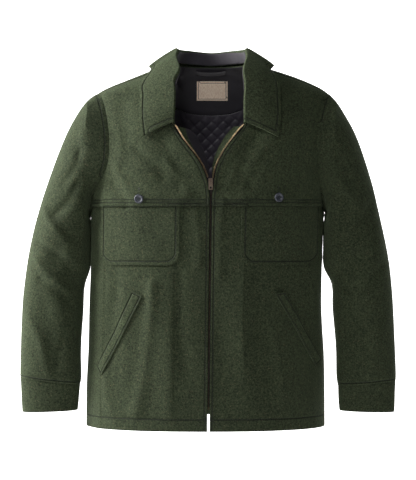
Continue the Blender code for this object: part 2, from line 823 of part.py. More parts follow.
def oval(row):
    """Points round a sleeve or cuff ring, from its inner side over the front."""
    outer_x, outer_z, inner_x, inner_z, half_depth, middle = row
    outer, inner = Vector((outer_x, middle, outer_z)), Vector((inner_x, middle, inner_z))
    centre = (outer + inner) / 2
    half = (inner - outer) / 2
    points = []
    for i in range(ARM_STEPS):
        turn = 2 * math.pi * i / ARM_STEPS
        c, s = math.cos(turn), math.sin(turn)
        k = (abs(s) ** SLEEVE_ROUNDNESS + abs(c) ** SLEEVE_ROUNDNESS) ** (-1 / SLEEVE_ROUNDNESS)
        points.append(centre + half * (k * c) + Vector((0, -half_depth * k * s, 0)))
    return points


def through(points, t):
    """Smooth path through points, at a place counted in points."""
    i = min(int(t), len(points) - 2)
    t -= i
    a, b = points[i], points[i + 1]
    before = points[i - 1] if i > 0 else a * 2 - b
    after = points[i + 2] if i + 2 < len(points) else b * 2 - a
    start, end = (b - before) / 2, (after - a) / 2
    limit = (b - a).length * 1.2
    start = start.normalized() * min(start.length, limit)
    end = end.normalized() * min(end.length, limit)
    blend = a * (1 + 2 * t) * (1 - t) ** 2 + b * t * t * (3 - 2 * t)
    return blend + start * t * (1 - t) ** 2 - end * t * t * (1 - t)


def tube_solid(name, finish, rings, inward, mirrored, first_normals=None):
    """A wall round a row of rings, open at both ends."""
    normals = grid_normals(rings, closed=True)
    if not mirrored:
        normals = [[-n for n in row] for row in normals]
    if first_normals:
        normals[0] = first_normals
    inner = [[p - n * inward for p, n in zip(ring, row)] for ring, row in zip(rings, normals)]
    faces = grid_faces(len(rings), ARM_STEPS, closed=True)
    solid(name, finish, flat(rings), flat(inner), faces)


def sleeve_rings(side, table, start):
    keys = [start] + [oval(row) for row in table]
    rings = []
    for station in SLEEVE_STATIONS:
        ring = [through([key[i] for key in keys], station) for i in range(ARM_STEPS)]
        centre = sum(ring, Vector((0, 0, 0))) / ARM_STEPS
        folded = []
        for point in ring:
            way = (point - centre).normalized()
            face = "front" if way.y < 0 else "back"
            fade = smoothstep(0.2, 0.7, abs(way.y)) * smoothstep(0.5, 2.0, station)
            fade *= 1 - smoothstep(8.6, 9.8, station)
            folded.append(point + way * fade * fold_height(side, face, point.x, point.z))
        rings.append(folded)
    return rings


def build_sleeve(side, table, front, back):
    ring = armhole_ring(front, back, side)
    start = [point + out * ARMHOLE_GAP for point, out, _ in ring]
    rings = sleeve_rings(side, table, start)
    own = grid_normals(rings, closed=True)[0]
    firsts = []
    for i, (_, _, normal) in enumerate(ring):
        from_armpit = min(i, ARM_STEPS - i)
        lean = UNDERARM_LEAN[from_armpit] if from_armpit < len(UNDERARM_LEAN) else 1.0
        mine = own[i] if side == "left" else -own[i]
        firsts.append((normal * lean + mine * (1 - lean)).normalized())
    tube_solid("sleeve_" + side, "shell_wool", rings, WALL, side == "left", firsts)


def build_cuff(side, table):
    tube_solid("cuff_" + side, "shell_wool", [oval(row) for row in table], CUFF_WALL, side == "left")


# Collar
def collar_places(table):
    """Smooth curves over a half collar: neck and edge places on the body, and the roll's offset."""
    sign = -1 if table[0][2] < 0 else 1
    shares = [row[0] for row in table]
    full = 180 * sign
    neck = [angle_at(row[2], row[3], row[1]) for row in table]
    edge = [angle_at(row[8], row[9], row[7]) for row in table]
    if sign < 0:
        neck = [a - 360 if a > 90 else a for a in neck]
        edge = [a - 360 if a > 90 else a for a in edge]
    neck[-1], edge[-1] = full, full
    columns = {
        "neck_angle": neck,
        "neck_level": [row[3] for row in table],
        "edge_angle": edge,
        "edge_level": [row[9] for row in table],
        "roll_x": [-sign * row[4] for row in table],
        "roll_y": [row[5] for row in table],
        "roll_z": [row[6] for row in table],
    }
    return {name: Curve(list(zip(shares, values))) for name, values in columns.items()}


def collar_section(curves, share, along):
    """Middle line of the collar's section: up the stand, over the roll and down the fall."""
    neck_angle, neck_level = curves["neck_angle"](share), curves["neck_level"](share)
    seam = ring_point(neck_angle, neck_level)
    normal = ring_normal(neck_angle, neck_level)
    rise = Vector([curves[name](share) for name in ("roll_x", "roll_y", "roll_z")])
    up = rise.normalized()
    out = along.cross(up).normalized()
    if out.dot(normal) < 0:
        out = -out
    base = seam + normal * STAND_OUT
    foot, top = base + up * STAND_LIFT, base + rise
    edge_angle, edge_level = curves["edge_angle"](share), curves["edge_level"](share)
    edge = ring_point(edge_angle, edge_level) + ring_normal(edge_angle, edge_level) * COLLAR_LIFT
    centre = top - up * ROLL_RADIUS + out * ROLL_RADIUS
    roll_start = centre - out * ROLL_RADIUS
    line = [foot, (foot + roll_start) / 2, roll_start]
    slant = ROLL_RADIUS * math.sqrt(0.5)
    line += [centre + (up - out) * slant, centre + up * ROLL_RADIUS, centre + (up + out) * slant]
    fall = edge - line[-1]
    bulge = along.cross(fall).normalized()
    if bulge.dot(normal) < 0:
        bulge = -bulge
    for part in FALL_SHARES:
        line.append(line[5] + fall * part + bulge * FALL_BELLY * math.sin(math.pi * part))
    return line


def collar_lines():
    """Sections from the left end round the back to the right end."""
    halves = {"left": collar_places(COLLAR_LEFT), "right": collar_places(COLLAR_RIGHT)}
    stations = [("left", i / COLLAR_STEPS) for i in range(COLLAR_STEPS + 1)]
    stations += [("right", i / COLLAR_STEPS) for i in range(COLLAR_STEPS - 1, -1, -1)]
    seams = []
    for side, share in stations:
        curves = halves[side]
        seams.append(ring_point(curves["neck_angle"](share), curves["neck_level"](share)))
    lines = []
    for i, (side, share) in enumerate(stations):
        along = (seams[min(i + 1, len(seams) - 1)] - seams[max(i - 1, 0)]).normalized()
        lines.append(collar_section(halves[side], share, along))
    return lines


def sheet_sides(lines, half):
    """Two sides of a sheet round its middle lines."""
    normals = grid_normals(lines)
    near = [[p - n * half for p, n in zip(line, row)] for line, row in zip(lines, normals)]
    far = [[p + n * half for p, n in zip(line, row)] for line, row in zip(lines, normals)]
    return near, far


def build_collar():
    lines = collar_lines()
    near, far = sheet_sides(lines, COLLAR_WALL / 2)
    solid("collar", "trim_wool", flat(far), flat(near), grid_faces(len(lines), len(lines[0])))
    return lines


def build_collar_lining(lines):
    """Band inside the stand, from the neck seam to just under the roll."""
    normals = grid_normals(lines)
    low, high = STAND_LINING_SHARE
    count = len(lines)
    picked = range(round(low * count), round(high * count) + 1)
    outer, inner = [], []
    for i in picked:
        stand, fall = lines[i][1], lines[i][-2]
        away = 1 if (stand - fall).dot(normals[i][1]) > 0 else -1
        for j in (0, 1, 2):
            base = lines[i][j] + normals[i][j] * away * (COLLAR_WALL / 2 + LAY_GAP)
            outer.append(base)
            inner.append(base + normals[i][j] * away * LINING_WALL)
    solid("collar_lining", "dark_lining", outer, inner, grid_faces(len(picked), 3))


# Inside of the open neck
class EdgeRow:
    """A row of a front's edge: its inner point, and the ways to the middle, out and along the wall."""

    def __init__(self, side, outer, inner, r):
        edge_c = 0 if side == "right" else len(outer[0]) - 1
        next_c = 1 if side == "right" else edge_c - 1
        last = len(outer) - 1
        up = (outer[min(r + 1, last)][edge_c] - outer[max(r - 1, 0)][edge_c]).normalized()
        wall = inner[r][next_c] - inner[r][edge_c]
        out = wall.cross(up).normalized()
        self.out = -out if out.y > 0 else out
        middle = up.cross(self.out).normalized()
        self.middle = -middle if middle.dot(wall) > 0 else middle
        self.point = inner[r][edge_c]
        self.wall = wall.normalized()

    def at(self, across, out):
        """A point across towards the middle, or back along the wall, and so far out."""
        step = self.middle * across if across > 0 else self.wall * -across
        return self.point + step + self.out * out


def strip_solid(name, finish, frames, profiles, wall):
    """A strip from (across, out) profiles, with its thickness on its hidden side."""
    shown, hidden = [], []
    for frame, profile in zip(frames, profiles):
        for i, (across, out) in enumerate(profile):
            before, after = profile[max(i - 1, 0)], profile[min(i + 1, len(profile) - 1)]
            run = Vector(after) - Vector(before)
            run.normalize()
            shown.append(frame.at(across, out))
            hidden.append(frame.at(across, out) + (frame.middle * run.y - frame.out * run.x) * wall)
    solid(name, finish, shown, hidden, grid_faces(len(profiles), len(profiles[0])))


def build_tape(side, outer, inner):
    """Zip tape behind a front's edge, from the open neck's top to below the slider."""
    frames = [EdgeRow(side, outer, inner, r) for r in range(len(outer))]
    top = EDGE_LEVELS[NECK_EDGE_ROW]
    frames = [frame for frame in frames if TAPE_END_LEVEL - 20 < frame.point.z < top + 3]
    profiles = []
    for frame in frames:
        shown = lerp(TAPE_SHOWN_SHUT, TAPE_SHOWN_OPEN, smoothstep(-262, -238, frame.point.z))
        profiles.append([(-TAPE_HIDDEN, -TAPE_GAP - 0.4), (shown, -TAPE_GAP)])
    strip_solid("zip_tape_" + side, "zip_tape", frames, profiles, TAPE_WALL)


def strip_width(level, column):
    return Curve([(row[0], row[column]) for row in reversed(INNER_STRIPS)])(level)


def neck_frames(side, outer, inner):
    """Edge rows beside the open neck."""
    low, high = INNER_STRIPS[-1][0] - 8, INNER_STRIPS[0][0] + 4
    frames = [EdgeRow(side, outer, inner, r) for r in range(len(outer))]
    return [frame for frame in frames if low < frame.point.z < high]


def facing_profile(width):
    start = -2 * TAPE_GAP - TAPE_WALL
    return [
        (-TAPE_HIDDEN * 0.8, start - 0.8),
        (1.0, start - 0.3),
        (1.0 + width * 0.5, start - width * 0.45 * FACING_SLANT),
        (1.0 + width, start - width * FACING_SLANT),
    ]


def build_facing(side, outer, inner):
    frames = neck_frames(side, outer, inner)
    column = 1 if side == "left" else 2
    profiles = [facing_profile(strip_width(frame.point.z, column)) for frame in frames]
    strip_solid("facing_" + side, "trim_wool", frames, profiles, FACING_WALL)


def build_front_lining(outer, inner):
    """Dark strip of lining that goes on inwards from the left facing."""
    frames = neck_frames("left", outer, inner)
    profiles = []
    for frame in frames:
        across, out = facing_profile(strip_width(frame.point.z, 1))[-1]
        width = strip_width(frame.point.z, 3)
        across, out = across + 0.3, out - 0.6
        profiles.append([(across + 0.62 * width * t, out - 0.8 * width * t) for t in (0.0, 0.5, 1.0)])
    strip_solid("front_lining_left", "dark_lining", frames, profiles, LINING_WALL)


def build_yoke_lining(panel):
    """Plain lining inside the back's neck, on the back's own points."""
    middle = BACK_COLUMNS // 2
    columns = range(middle - 3, middle + 4)
    rows = range(LINING_ROW, panel.rows)
    near = [[panel.at(r, c, -WALL - LAY_GAP) for c in columns] for r in rows]
    far = [[panel.at(r, c, -WALL - LAY_GAP - LINING_WALL) for c in columns] for r in rows]
    faces = grid_faces(len(rows), len(columns))
    solid("yoke_lining", "dark_lining", flat(near), flat(far), faces)
    return mesh_tree(flat(far), faces)


def on_lining(tree, x, level):
    """Place and inward normal where a line from inside meets the yoke lining."""
    angle = angle_at(x, level, "back")
    normal = ring_normal(angle, level)
    inside = ring_point(angle, level) - normal * 40
    hit, _, _, _ = tree.ray_cast(inside, normal, 80)
    return (hit or inside + normal * 34), -normal


def build_quilt(panel):
    """Quilted lining of the back: raised diamonds where it shows, plain lower down."""
    middle = BACK_COLUMNS // 2
    shown = panel.points[LINING_ROW][middle - 3:middle + 4]
    seam = Curve(sorted((p.x, p.z) for p in shown))
    across = [QUILT_CENTRE + i * QUILT_PITCH for i in range(-QUILT_HALF, QUILT_HALF + 1)]
    rows = QUILT_ROWS + len(QUILT_LOW_LEVELS) + 1
    columns = len(across) + 2 * len(QUILT_SIDE_ANGLES)
    near, far = [], []
    for j in range(rows):
        for i in range(columns):
            own = i - len(QUILT_SIDE_ANGLES)
            if 0 <= own < len(across):
                x = across[own]
            else:
                turn = QUILT_SIDE_ANGLES[-1 - i] if own < 0 else QUILT_SIDE_ANGLES[own - len(across)]
                x = ring_point(180 + turn if own < 0 else 180 - turn, QUILT_END).x
            beyond = abs(x - QUILT_CENTRE) - QUILT_HALF * QUILT_PITCH
            start = seam(x) - QUILT_SEAM_GAP if beyond <= 0 else QUILT_SIDE_TOP - beyond * QUILT_SIDE_SLOPE
            if j <= QUILT_ROWS:
                level = lerp(start, QUILT_END, j / QUILT_ROWS)
            else:
                level = QUILT_LOW_LEVELS[j - QUILT_ROWS - 1]
            angle = angle_at(x, level, "back")
            quilted = 0 < own < len(across) - 1 and 0 < j < QUILT_ROWS
            puff = QUILT_PUFF if quilted and (own + j) % 2 == 0 else 0.0
            beside = max(0.0, abs(angle - 180) - QUILT_SIDE_ANGLES[0]) / QUILT_SIDE_ANGLES[0]
            gap = lerp(LINING_GAP, LOW_LINING_GAP, smoothstep(QUILT_END, QUILT_LOW_LEVELS[1], level))
            depth = -WALL - gap - beside * SIDE_LINING_GAP
            near.append(body_point(angle, level, depth))
            far.append(body_point(angle, level, depth - LINING_WALL - puff))
    solid("back_lining", "quilted_lining", near, far, grid_faces(rows, columns))


def build_label(tree):
    x0, z0 = LABEL_CENTRE
    wide, high = LABEL_SIZE
    near, far = [], []
    for j in range(5):
        for i in range(8):
            base, inward = on_lining(tree, x0 + wide * (i / 7 - 0.5), z0 + high * (j / 4 - 0.5))
            near.append(base + inward * LABEL_GAP)
            far.append(base + inward * (LABEL_GAP + LABEL_WALL))
    solid("neck_label", "label_cloth", near, far, grid_faces(5, 8))


def build_loop(tree):
    """Hanger loop: a band that bows a little away from the lining."""
    near, far = [], []
    steps = 8
    for i in range(steps + 1):
        share = i / steps
        x = lerp(LOOP_ENDS[0], LOOP_ENDS[1], share)
        bow = LOOP_BOW * math.sin(math.pi * share)
        for half in (-0.5, 0.5):
            base, inward = on_lining(tree, x, LOOP_LEVEL + half * LOOP_WIDTH - bow * 0.6)
            near.append(base + inward * (LABEL_GAP + bow))
            far.append(base + inward * (LABEL_GAP + bow + LOOP_WALL))
    solid("hanger_loop", "dark_lining", near, far, grid_faces(steps + 1, 2))


# Welts
def mesh_tree(points, faces):
    """Search tree of a panel's side, with its faces split as in its solid."""
    split = []
    for a, b, c, d in faces:
        split += [(a, b, c), (a, c, d)]
    return BVHTree.FromPolygons([tuple(p) for p in points], split)


def on_tree(tree, x, level):
    """Place and normal where a line from the front meets a panel."""
    near = ring_point(angle_at(x, level), level)
    normal = ring_normal(angle_at(x, level), level)
    hit, _, _, _ = tree.ray_cast(near + normal * 30, -normal, 80)
    return (hit or near), normal


def build_welt(side, tree):
    open_top, open_low, in_top, in_low = [Vector(p) for p in WELTS[side]]
    inner, outer = [], []
    for j in range(WELT_STEPS + 1):
        down = j / WELT_STEPS
        for i in range(4):
            across = i / 3
            place = lerp(lerp(open_top, open_low, down), lerp(in_top, in_low, down), across)
            base, normal = on_tree(tree, place.x, place.y)
            crown = 0.4 * math.sin(math.pi * across)
            inner.append(base + normal * WELT_GAP)
            outer.append(base + normal * (WELT_GAP + WELT_WALL + crown))
    solid("welt_" + side, "trim_wool", outer, inner, grid_faces(WELT_STEPS + 1, 4))


# Buttons
def build_button(side, tree):
    base, normal = on_tree(tree, *BUTTONS[side])
    mesh = bmesh.new()
    points = [mesh.verts.new(Vector((r, 0, h)) * MM) for r, h in BUTTON_PROFILE]
    edges = [mesh.edges.new(pair) for pair in zip(points, points[1:])]
    bmesh.ops.spin(
        mesh,
        geom=points + edges,
        cent=(0, 0, 0),
        axis=(0, 0, 1),
        angle=2 * math.pi,
        steps=BUTTON_STEPS,
        use_merge=True,
        use_duplicate=False,
    )
    bmesh.ops.remove_doubles(mesh, verts=mesh.verts, dist=0.00001)
    facing = Vector((0, 0, 1)).rotation_difference(normal).to_matrix()
    bmesh.ops.transform(mesh, matrix=facing.to_4x4(), verts=mesh.verts)
    finish_mesh("button_" + side, "button_resin", mesh, base + normal * LAY_GAP)


# Zip slider and pull
def box(mesh, low, high):
    """Adds a box between two corners."""
    size = Vector(high) - Vector(low)
    centre = (Vector(high) + Vector(low)) / 2
    scale = Matrix.Diagonal((*(size * MM), 1))
    bmesh.ops.create_cube(mesh, size=1, matrix=Matrix.Translation(centre * MM) @ scale)


def cut(item, other, operation):
    """Applies an exact Boolean and removes the other solid."""
    step = item.modifiers.new("cut", "BOOLEAN")
    step.object = other
    step.operation = operation
    step.solver = "EXACT"
    graph = bpy.context.evaluated_depsgraph_get()
    graph.update()
    data = bpy.data.meshes.new_from_object(item.evaluated_get(graph))
    item.modifiers.clear()
    item.data = data
    bpy.data.objects.remove(other)


def block(name, finish, low, high, bevel=0.0, axis=None):
    mesh = bmesh.new()
    box(mesh, low, high)
    if bevel:
        edges = [
            e for e in mesh.edges
            if axis is None or abs((e.verts[0].co - e.verts[1].co).normalized()[axis]) > 0.9
        ]
        bmesh.ops.bevel(
            mesh, geom=edges, offset=bevel * MM, offset_type="OFFSET", segments=3, profile=0.5,
            affect="EDGES", clamp_overlap=True, material=-1,
        )
    return finish_mesh(name, finish, mesh, Vector((0, 0, 0)))


def build_slider(depth):
    """Slider: two plates, the wedge between them and the arch that holds the pull tab."""
    x, z = SLIDER_CENTRE, SLIDER_LEVEL
    half, tall = SLIDER_WIDTH / 2, SLIDER_HEIGHT / 2
    front_y, back_y = depth["plate_front"], depth["plate_back"]
    front_corner = (x + half, front_y + PLATE_WALL, z + tall)
    body = block(
        "zip_slider", "zip_metal", (x - half, front_y, z - tall), front_corner, PLATE_CORNER, 1
    )
    wedge = WEDGE_WIDTH / 2
    parts = [
        ((x - half, back_y, z - tall), (x + half, back_y + PLATE_WALL, z + tall), PLATE_CORNER, 1),
        ((x - wedge, front_y + JOIN, z + WEDGE_START), (x + wedge, back_y + JOIN, z + tall - JOIN), 0, None),
    ]
    lug = LUG_WIDTH / 2
    low, high = z - LUG_HEIGHT / 2, z + LUG_HEIGHT / 2
    arch_y = depth["hinge"] - TAB_BAR / 2 - HINGE_PLAY - LUG_WALL
    for start, end in ((low, low + LUG_WALL), (high - LUG_WALL, high)):
        parts.append(((x - lug, arch_y, start), (x + lug, front_y + JOIN, end), 0, None))
    parts.append(((x - lug, arch_y, low), (x + lug, arch_y + LUG_WALL, high), LUG_CORNER, 0))
    for i, (start, end, bevel, axis) in enumerate(parts):
        cut(body, block("part" + str(i), "zip_metal", start, end, bevel, axis), "UNION")
    return body


def build_pull(depth):
    """Pull tab, hanging from the slider's arch, with its origin on the hinge."""
    hinge = Vector((SLIDER_CENTRE, depth["hinge"], SLIDER_LEVEL))
    half = TAB_WALL / 2
    top = TAB_BAR / 2
    low, high = (-TAB_WIDTH / 2, -half, top - TAB_LENGTH), (TAB_WIDTH / 2, half, top)
    tab = block("zip_pull", "zip_metal", low, high, TAB_CORNER, 1)
    slot = TAB_SLOT_WIDTH / 2
    slot_low = (-slot, -TAB_WALL, -top - TAB_SLOT_LENGTH)
    cut(tab, block("slot", "zip_metal", slot_low, (slot, TAB_WALL, -top)), "DIFFERENCE")
    mesh = bmesh.new()
    turn = Matrix.Rotation(math.pi / 2, 4, "X")
    place = Matrix.Translation(Vector((0, 0, top - TAB_LENGTH + TAB_HOLE_RISE)) * MM)
    radius = TAB_HOLE / 2 * MM
    bmesh.ops.create_cone(
        mesh, cap_ends=True, segments=TAB_HOLE_SIDES, radius1=radius, radius2=radius,
        depth=4 * TAB_WALL * MM, matrix=place @ turn,
    )
    cut(tab, finish_mesh("hole", "zip_metal", mesh, Vector((0, 0, 0))), "DIFFERENCE")
    tab.location = hinge * MM


def zip_depths(inner):
    """Depths of the slider's plates and the hinge from the tapes' own depth at the slider."""
    nearest = min(range(len(inner)), key=lambda r: abs(inner[r][0].z - SLIDER_LEVEL))
    tape = inner[nearest][0].y
    return {
        "plate_front": tape - SLIDER_PLAY - PLATE_WALL,
        "plate_back": tape + 2 * LAY_GAP + TAPE_WALL + 1.0,
        "hinge": -FRONT_DEPTH(SLIDER_LEVEL) - HINGE_OUT,
    }


def clear_scene():
    for item in list(bpy.data.objects):
        bpy.data.objects.remove(item)


def main():
    clear_scene()
    panels = {side: front_panel(side) for side in ("left", "right")}
    back = back_panel()
    for panel in (*panels.values(), back):
        panel.inset_edges()
    build_back(back)
    tables = {"left": SLEEVE_LEFT, "right": SLEEVE_RIGHT}
    cuffs = {"left": CUFF_LEFT, "right": CUFF_RIGHT}
    for side, panel in panels.items():
        outer, inner = build_front(side, panel)
        tree = mesh_tree(flat(outer), grid_faces(panel.rows, panel.columns))
        yoke = build_yoke(side, panel)
        build_pocket(side, panel)
        build_sleeve(side, tables[side], panel, back)
        build_cuff(side, cuffs[side])
        build_tape(side, outer, inner)
        build_facing(side, outer, inner)
        if side == "left":
            build_front_lining(outer, inner)
        build_welt(side, tree)
        build_button(side, mesh_tree(flat(yoke), grid_faces(len(yoke), panel.columns)))
        if side == "right":
            depth = zip_depths(inner)
    build_collar_lining(build_collar())
    lining = build_yoke_lining(back)
    build_quilt(back)
    build_label(lining)
    build_loop(lining)
    build_slider(depth)
    build_pull(depth)


main()
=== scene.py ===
"""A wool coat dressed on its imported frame: milled cloth, stitching, zip teeth, buttons, lining and studio.

Sizes are in metres unless a name or docstring says millimetres, in the frame's own axes: the front
faces -Y and up is +Z. Left is -X and right is +X, as seen from the front.
"""

import json
import logging
import math
from collections.abc import Callable, Iterable, Sequence
from dataclasses import dataclass, field
from enum import Enum

import bmesh
import bpy
import numpy as np
from mathutils import Matrix, Vector
from mathutils.bvhtree import BVHTree


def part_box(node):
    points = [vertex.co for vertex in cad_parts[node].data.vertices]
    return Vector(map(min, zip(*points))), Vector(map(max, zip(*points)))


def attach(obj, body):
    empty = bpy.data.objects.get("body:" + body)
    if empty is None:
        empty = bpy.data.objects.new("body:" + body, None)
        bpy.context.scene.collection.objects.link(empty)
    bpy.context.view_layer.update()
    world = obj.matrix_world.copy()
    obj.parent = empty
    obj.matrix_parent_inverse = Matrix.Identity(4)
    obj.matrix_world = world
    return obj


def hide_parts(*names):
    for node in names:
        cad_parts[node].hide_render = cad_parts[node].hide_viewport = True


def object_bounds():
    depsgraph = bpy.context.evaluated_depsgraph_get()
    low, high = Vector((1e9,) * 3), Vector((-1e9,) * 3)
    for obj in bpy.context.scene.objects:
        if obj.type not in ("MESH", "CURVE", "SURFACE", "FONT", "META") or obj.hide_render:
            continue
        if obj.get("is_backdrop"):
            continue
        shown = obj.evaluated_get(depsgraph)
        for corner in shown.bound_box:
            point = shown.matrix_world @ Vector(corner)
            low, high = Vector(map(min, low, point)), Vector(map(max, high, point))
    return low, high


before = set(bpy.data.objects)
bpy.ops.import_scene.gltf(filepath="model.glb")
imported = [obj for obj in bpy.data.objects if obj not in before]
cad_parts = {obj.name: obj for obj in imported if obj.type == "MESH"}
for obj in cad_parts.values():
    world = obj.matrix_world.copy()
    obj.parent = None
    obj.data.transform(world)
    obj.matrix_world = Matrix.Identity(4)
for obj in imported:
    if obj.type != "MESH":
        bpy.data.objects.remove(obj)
CAD_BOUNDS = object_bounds()

LOG = logging.getLogger("coat")
MM = 0.001
GARMENT = "garment"
SEAM_OFFSET = "seam_offset"
FAR = 40.0
MERGE = 1e-6
JOIN_FACE_ANGLE = math.radians(38)
JOIN_SHAPE_ANGLE = math.radians(70)
RIM_ANGLE = math.radians(40)
THICKEST_RIM = 0.0046
SMOOTH_ANGLE = math.radians(50)

Colour = tuple[float, float, float]
Array = np.ndarray


class Side(Enum):
    """A half of the coat, as seen from the front."""

    LEFT = "left"
    RIGHT = "right"

    @property
    def sign(self) -> int:
        """The way from the middle to this side along X."""
        return -1 if self is Side.LEFT else 1


class Region(Enum):
    """A part of the coat that folds as one: all the layers on it move together."""

    BODY = "body"
    SLEEVE_LEFT = "sleeve_left"
    SLEEVE_RIGHT = "sleeve_right"


class Face(Enum):
    """The side of the coat that a crease lies on: the way it faces, and the axis that runs across it."""

    FRONT = (0, -1, 0)
    BACK = (0, 1, 0)
    LEFT = (-1, 0, 1)
    RIGHT = (1, 0, 1)


# Procedural finishes
class Graph:
    """Adds shader nodes to a material and links them."""

    def __init__(self, name: str) -> None:
        """Starts a material with its shader and its coordinates."""
        self.material = bpy.data.materials.new(name)
        self.material.use_nodes = True
        self.tree = self.material.node_tree
        self.shader = self.tree.nodes["Principled BSDF"]
        self.coordinates = self.add("ShaderNodeTexCoord").outputs["Object"]

    def add(self, kind: str, **settings: object) -> bpy.types.Node:
        """Adds a node with its settings."""
        node = self.tree.nodes.new(kind)
        for name, value in settings.items():
            setattr(node, name, value)
        return node

    def link(self, source: bpy.types.NodeSocket, target: bpy.types.NodeSocket) -> None:
        """Links two sockets."""
        self.tree.links.new(source, target)

    def noise(self, scale: float, detail: float = 2.0, roughness: float = 0.5,
              stretch: Sequence[float] = (1, 1, 1)) -> bpy.types.NodeSocket:
        """Noise on the object's own coordinates.

        Args:
            scale: features a metre.
            detail: octaves of finer noise.
            roughness: strength of each finer octave.
            stretch: scale along each axis, for threads that run one way.

        Returns:
            The noise's value, about 0.5 on average.
        """
        mapping = self.add("ShaderNodeMapping")
        mapping.inputs["Scale"].default_value = stretch
        self.link(self.coordinates, mapping.inputs["Vector"])
        node = self.add("ShaderNodeTexNoise")
        node.inputs["Scale"].default_value = scale
        node.inputs["Detail"].default_value = detail
        node.inputs["Roughness"].default_value = roughness
        self.link(mapping.outputs["Vector"], node.inputs["Vector"])
        return node.outputs["Fac"]

    def attribute(self, name: str) -> bpy.types.NodeSocket:
        """A value stored on the mesh's points."""
        return self.add("ShaderNodeAttribute", attribute_name=name).outputs["Fac"]

    def maths(self, operation: str, first: object, second: object = 0.0) -> bpy.types.NodeSocket:
        """One sum on two values, each a socket or a number."""
        node = self.add("ShaderNodeMath", operation=operation)
        for socket, value in zip(node.inputs, (first, second)):
            if isinstance(value, bpy.types.NodeSocket):
                self.link(value, socket)
            else:
                socket.default_value = value
        return node.outputs[0]

    def ramp(self, value: bpy.types.NodeSocket, low: float, high: float,
             kind: str = "LINEAR") -> bpy.types.NodeSocket:
        """Spreads a value from low..high to 0..1."""
        node = self.add("ShaderNodeMapRange", interpolation_type=kind)
        node.inputs["From Min"].default_value = low
        node.inputs["From Max"].default_value = high
        self.link(value, node.inputs["Value"])
        return node.outputs["Result"]

    def mix(self, share: bpy.types.NodeSocket, first: object, second: object) -> bpy.types.NodeSocket:
        """Mixes two colours, each a socket or a fixed colour."""
        node = self.add("ShaderNodeMix", data_type="RGBA")
        self.link(share, node.inputs["Factor"])
        for name, colour in (("A", first), ("B", second)):
            socket = next(s for s in node.inputs if s.name == name and s.type == "RGBA")
            if isinstance(colour, bpy.types.NodeSocket):
                self.link(colour, socket)
            else:
                socket.default_value = (*colour, 1.0)
        return next(s for s in node.outputs if s.type == "RGBA")

    def bump(self, height: bpy.types.NodeSocket, strength: float, distance: float,
             under: bpy.types.NodeSocket | None = None) -> bpy.types.NodeSocket:
        """Bump of a height, on top of an earlier one if given."""
        node = self.add("ShaderNodeBump")
        node.inputs["Strength"].default_value = strength
        node.inputs["Distance"].default_value = distance
        self.link(height, node.inputs["Height"])
        if under:
            self.link(under, node.inputs["Normal"])
        return node.outputs["Normal"]

    def finish(self, colour: bpy.types.NodeSocket, normal: bpy.types.NodeSocket | None,
               roughness: float, gloss: float = 0.5, metallic: float = 0.0) -> bpy.types.Material:
        """Joins colour and normal to the shader and sets its plain values."""
        self.link(colour, self.shader.inputs["Base Color"])
        if normal:
            self.link(normal, self.shader.inputs["Normal"])
        self.shader.inputs["Roughness"].default_value = roughness
        self.shader.inputs["Specular IOR Level"].default_value = gloss
        self.shader.inputs["Metallic"].default_value = metallic
        return self.material


@dataclass(frozen=True)
class Wool:
    """Milled wool: a mottled dark ground with paler fibres over it, and a soft nap, with painted shade
    darkening its seam grooves.
    """

    name: str
    dark: Colour
    light: Colour
    fleck: Colour
    slot: str
    nap: float = 0.14

    def build(self) -> bpy.types.Material:
        """Makes the material."""
        graph = Graph(self.name)
        cloud = graph.ramp(graph.noise(24, 3, 0.6), 0.34, 0.66)
        grain = graph.ramp(graph.noise(280, 4, 0.78), 0.38, 0.64)
        threads = graph.ramp(graph.noise(230, 2, 0.6, (1, 1, 3.2)), 0.6, 0.74)
        specks = graph.ramp(graph.noise(520, 1, 0.5), 0.66, 0.78)
        deep = tuple(0.6 * c for c in self.dark)
        ground = graph.mix(grain, self.dark, self.light)
        clouded = graph.mix(cloud, graph.mix(grain, deep, self.light), ground)
        fibres = graph.mix(threads, clouded, self.light)
        flecked = graph.mix(specks, fibres, self.fleck)
        # Painted shade: the colour darkens towards 0.22 of the dark ground in the middle of each seam groove
        # and unsewn line, where shade falls.
        offset = graph.attribute(SEAM_OFFSET)
        groove = graph.ramp(graph.maths("ABSOLUTE", offset), 0.2, 2.4, "SMOOTHSTEP")
        bead = graph.ramp(graph.maths("MULTIPLY", offset, -1.0), -1.2, 1.2, "SMOOTHSTEP")
        shade = graph.maths("ADD", graph.maths("MULTIPLY", groove, 0.75), 0.25)
        colour = graph.mix(shade, tuple(0.22 * c for c in self.dark), flecked)
        rise = graph.maths("ADD", groove, graph.maths("MULTIPLY", bead, 0.5))
        seam = graph.bump(rise, 1.0, 0.0016)
        felt = graph.bump(graph.noise(210, 4, 0.72), 0.62, 0.0016, seam)
        nap = graph.bump(graph.noise(1100, 2, 0.7), 0.5, 0.0008, felt)
        material = graph.finish(colour, nap, roughness=0.92, gloss=0.18)
        graph.shader.inputs["Sheen Weight"].default_value = self.nap
        graph.shader.inputs["Sheen Roughness"].default_value = 0.55
        graph.shader.inputs["Sheen Tint"].default_value = (0.5, 0.64, 0.38, 1)
        return material


@dataclass(frozen=True)
class Lining:
    """Smooth dark lining with a fine slanting weave and a low gloss."""

    name: str
    dark: Colour
    light: Colour
    slot: str
    gloss: float = 0.5

    def build(self) -> bpy.types.Material:
        """Makes the material."""
        graph = Graph(self.name)
        weave = graph.noise(900, 1, 0.5, (1, 1, 2.6))
        cloud = graph.ramp(graph.noise(30, 2), 0.3, 0.7)
        colour = graph.mix(cloud, self.dark, self.light)
        puckers = graph.bump(graph.noise(70, 2, 0.6), 0.35, 0.0016)
        normal = graph.bump(weave, 0.25, 0.0002, puckers)
        material = graph.finish(colour, normal, roughness=self.gloss, gloss=0.42)
        graph.shader.inputs["Sheen Weight"].default_value = 0.15
        graph.shader.inputs["Sheen Roughness"].default_value = 0.4
        return material


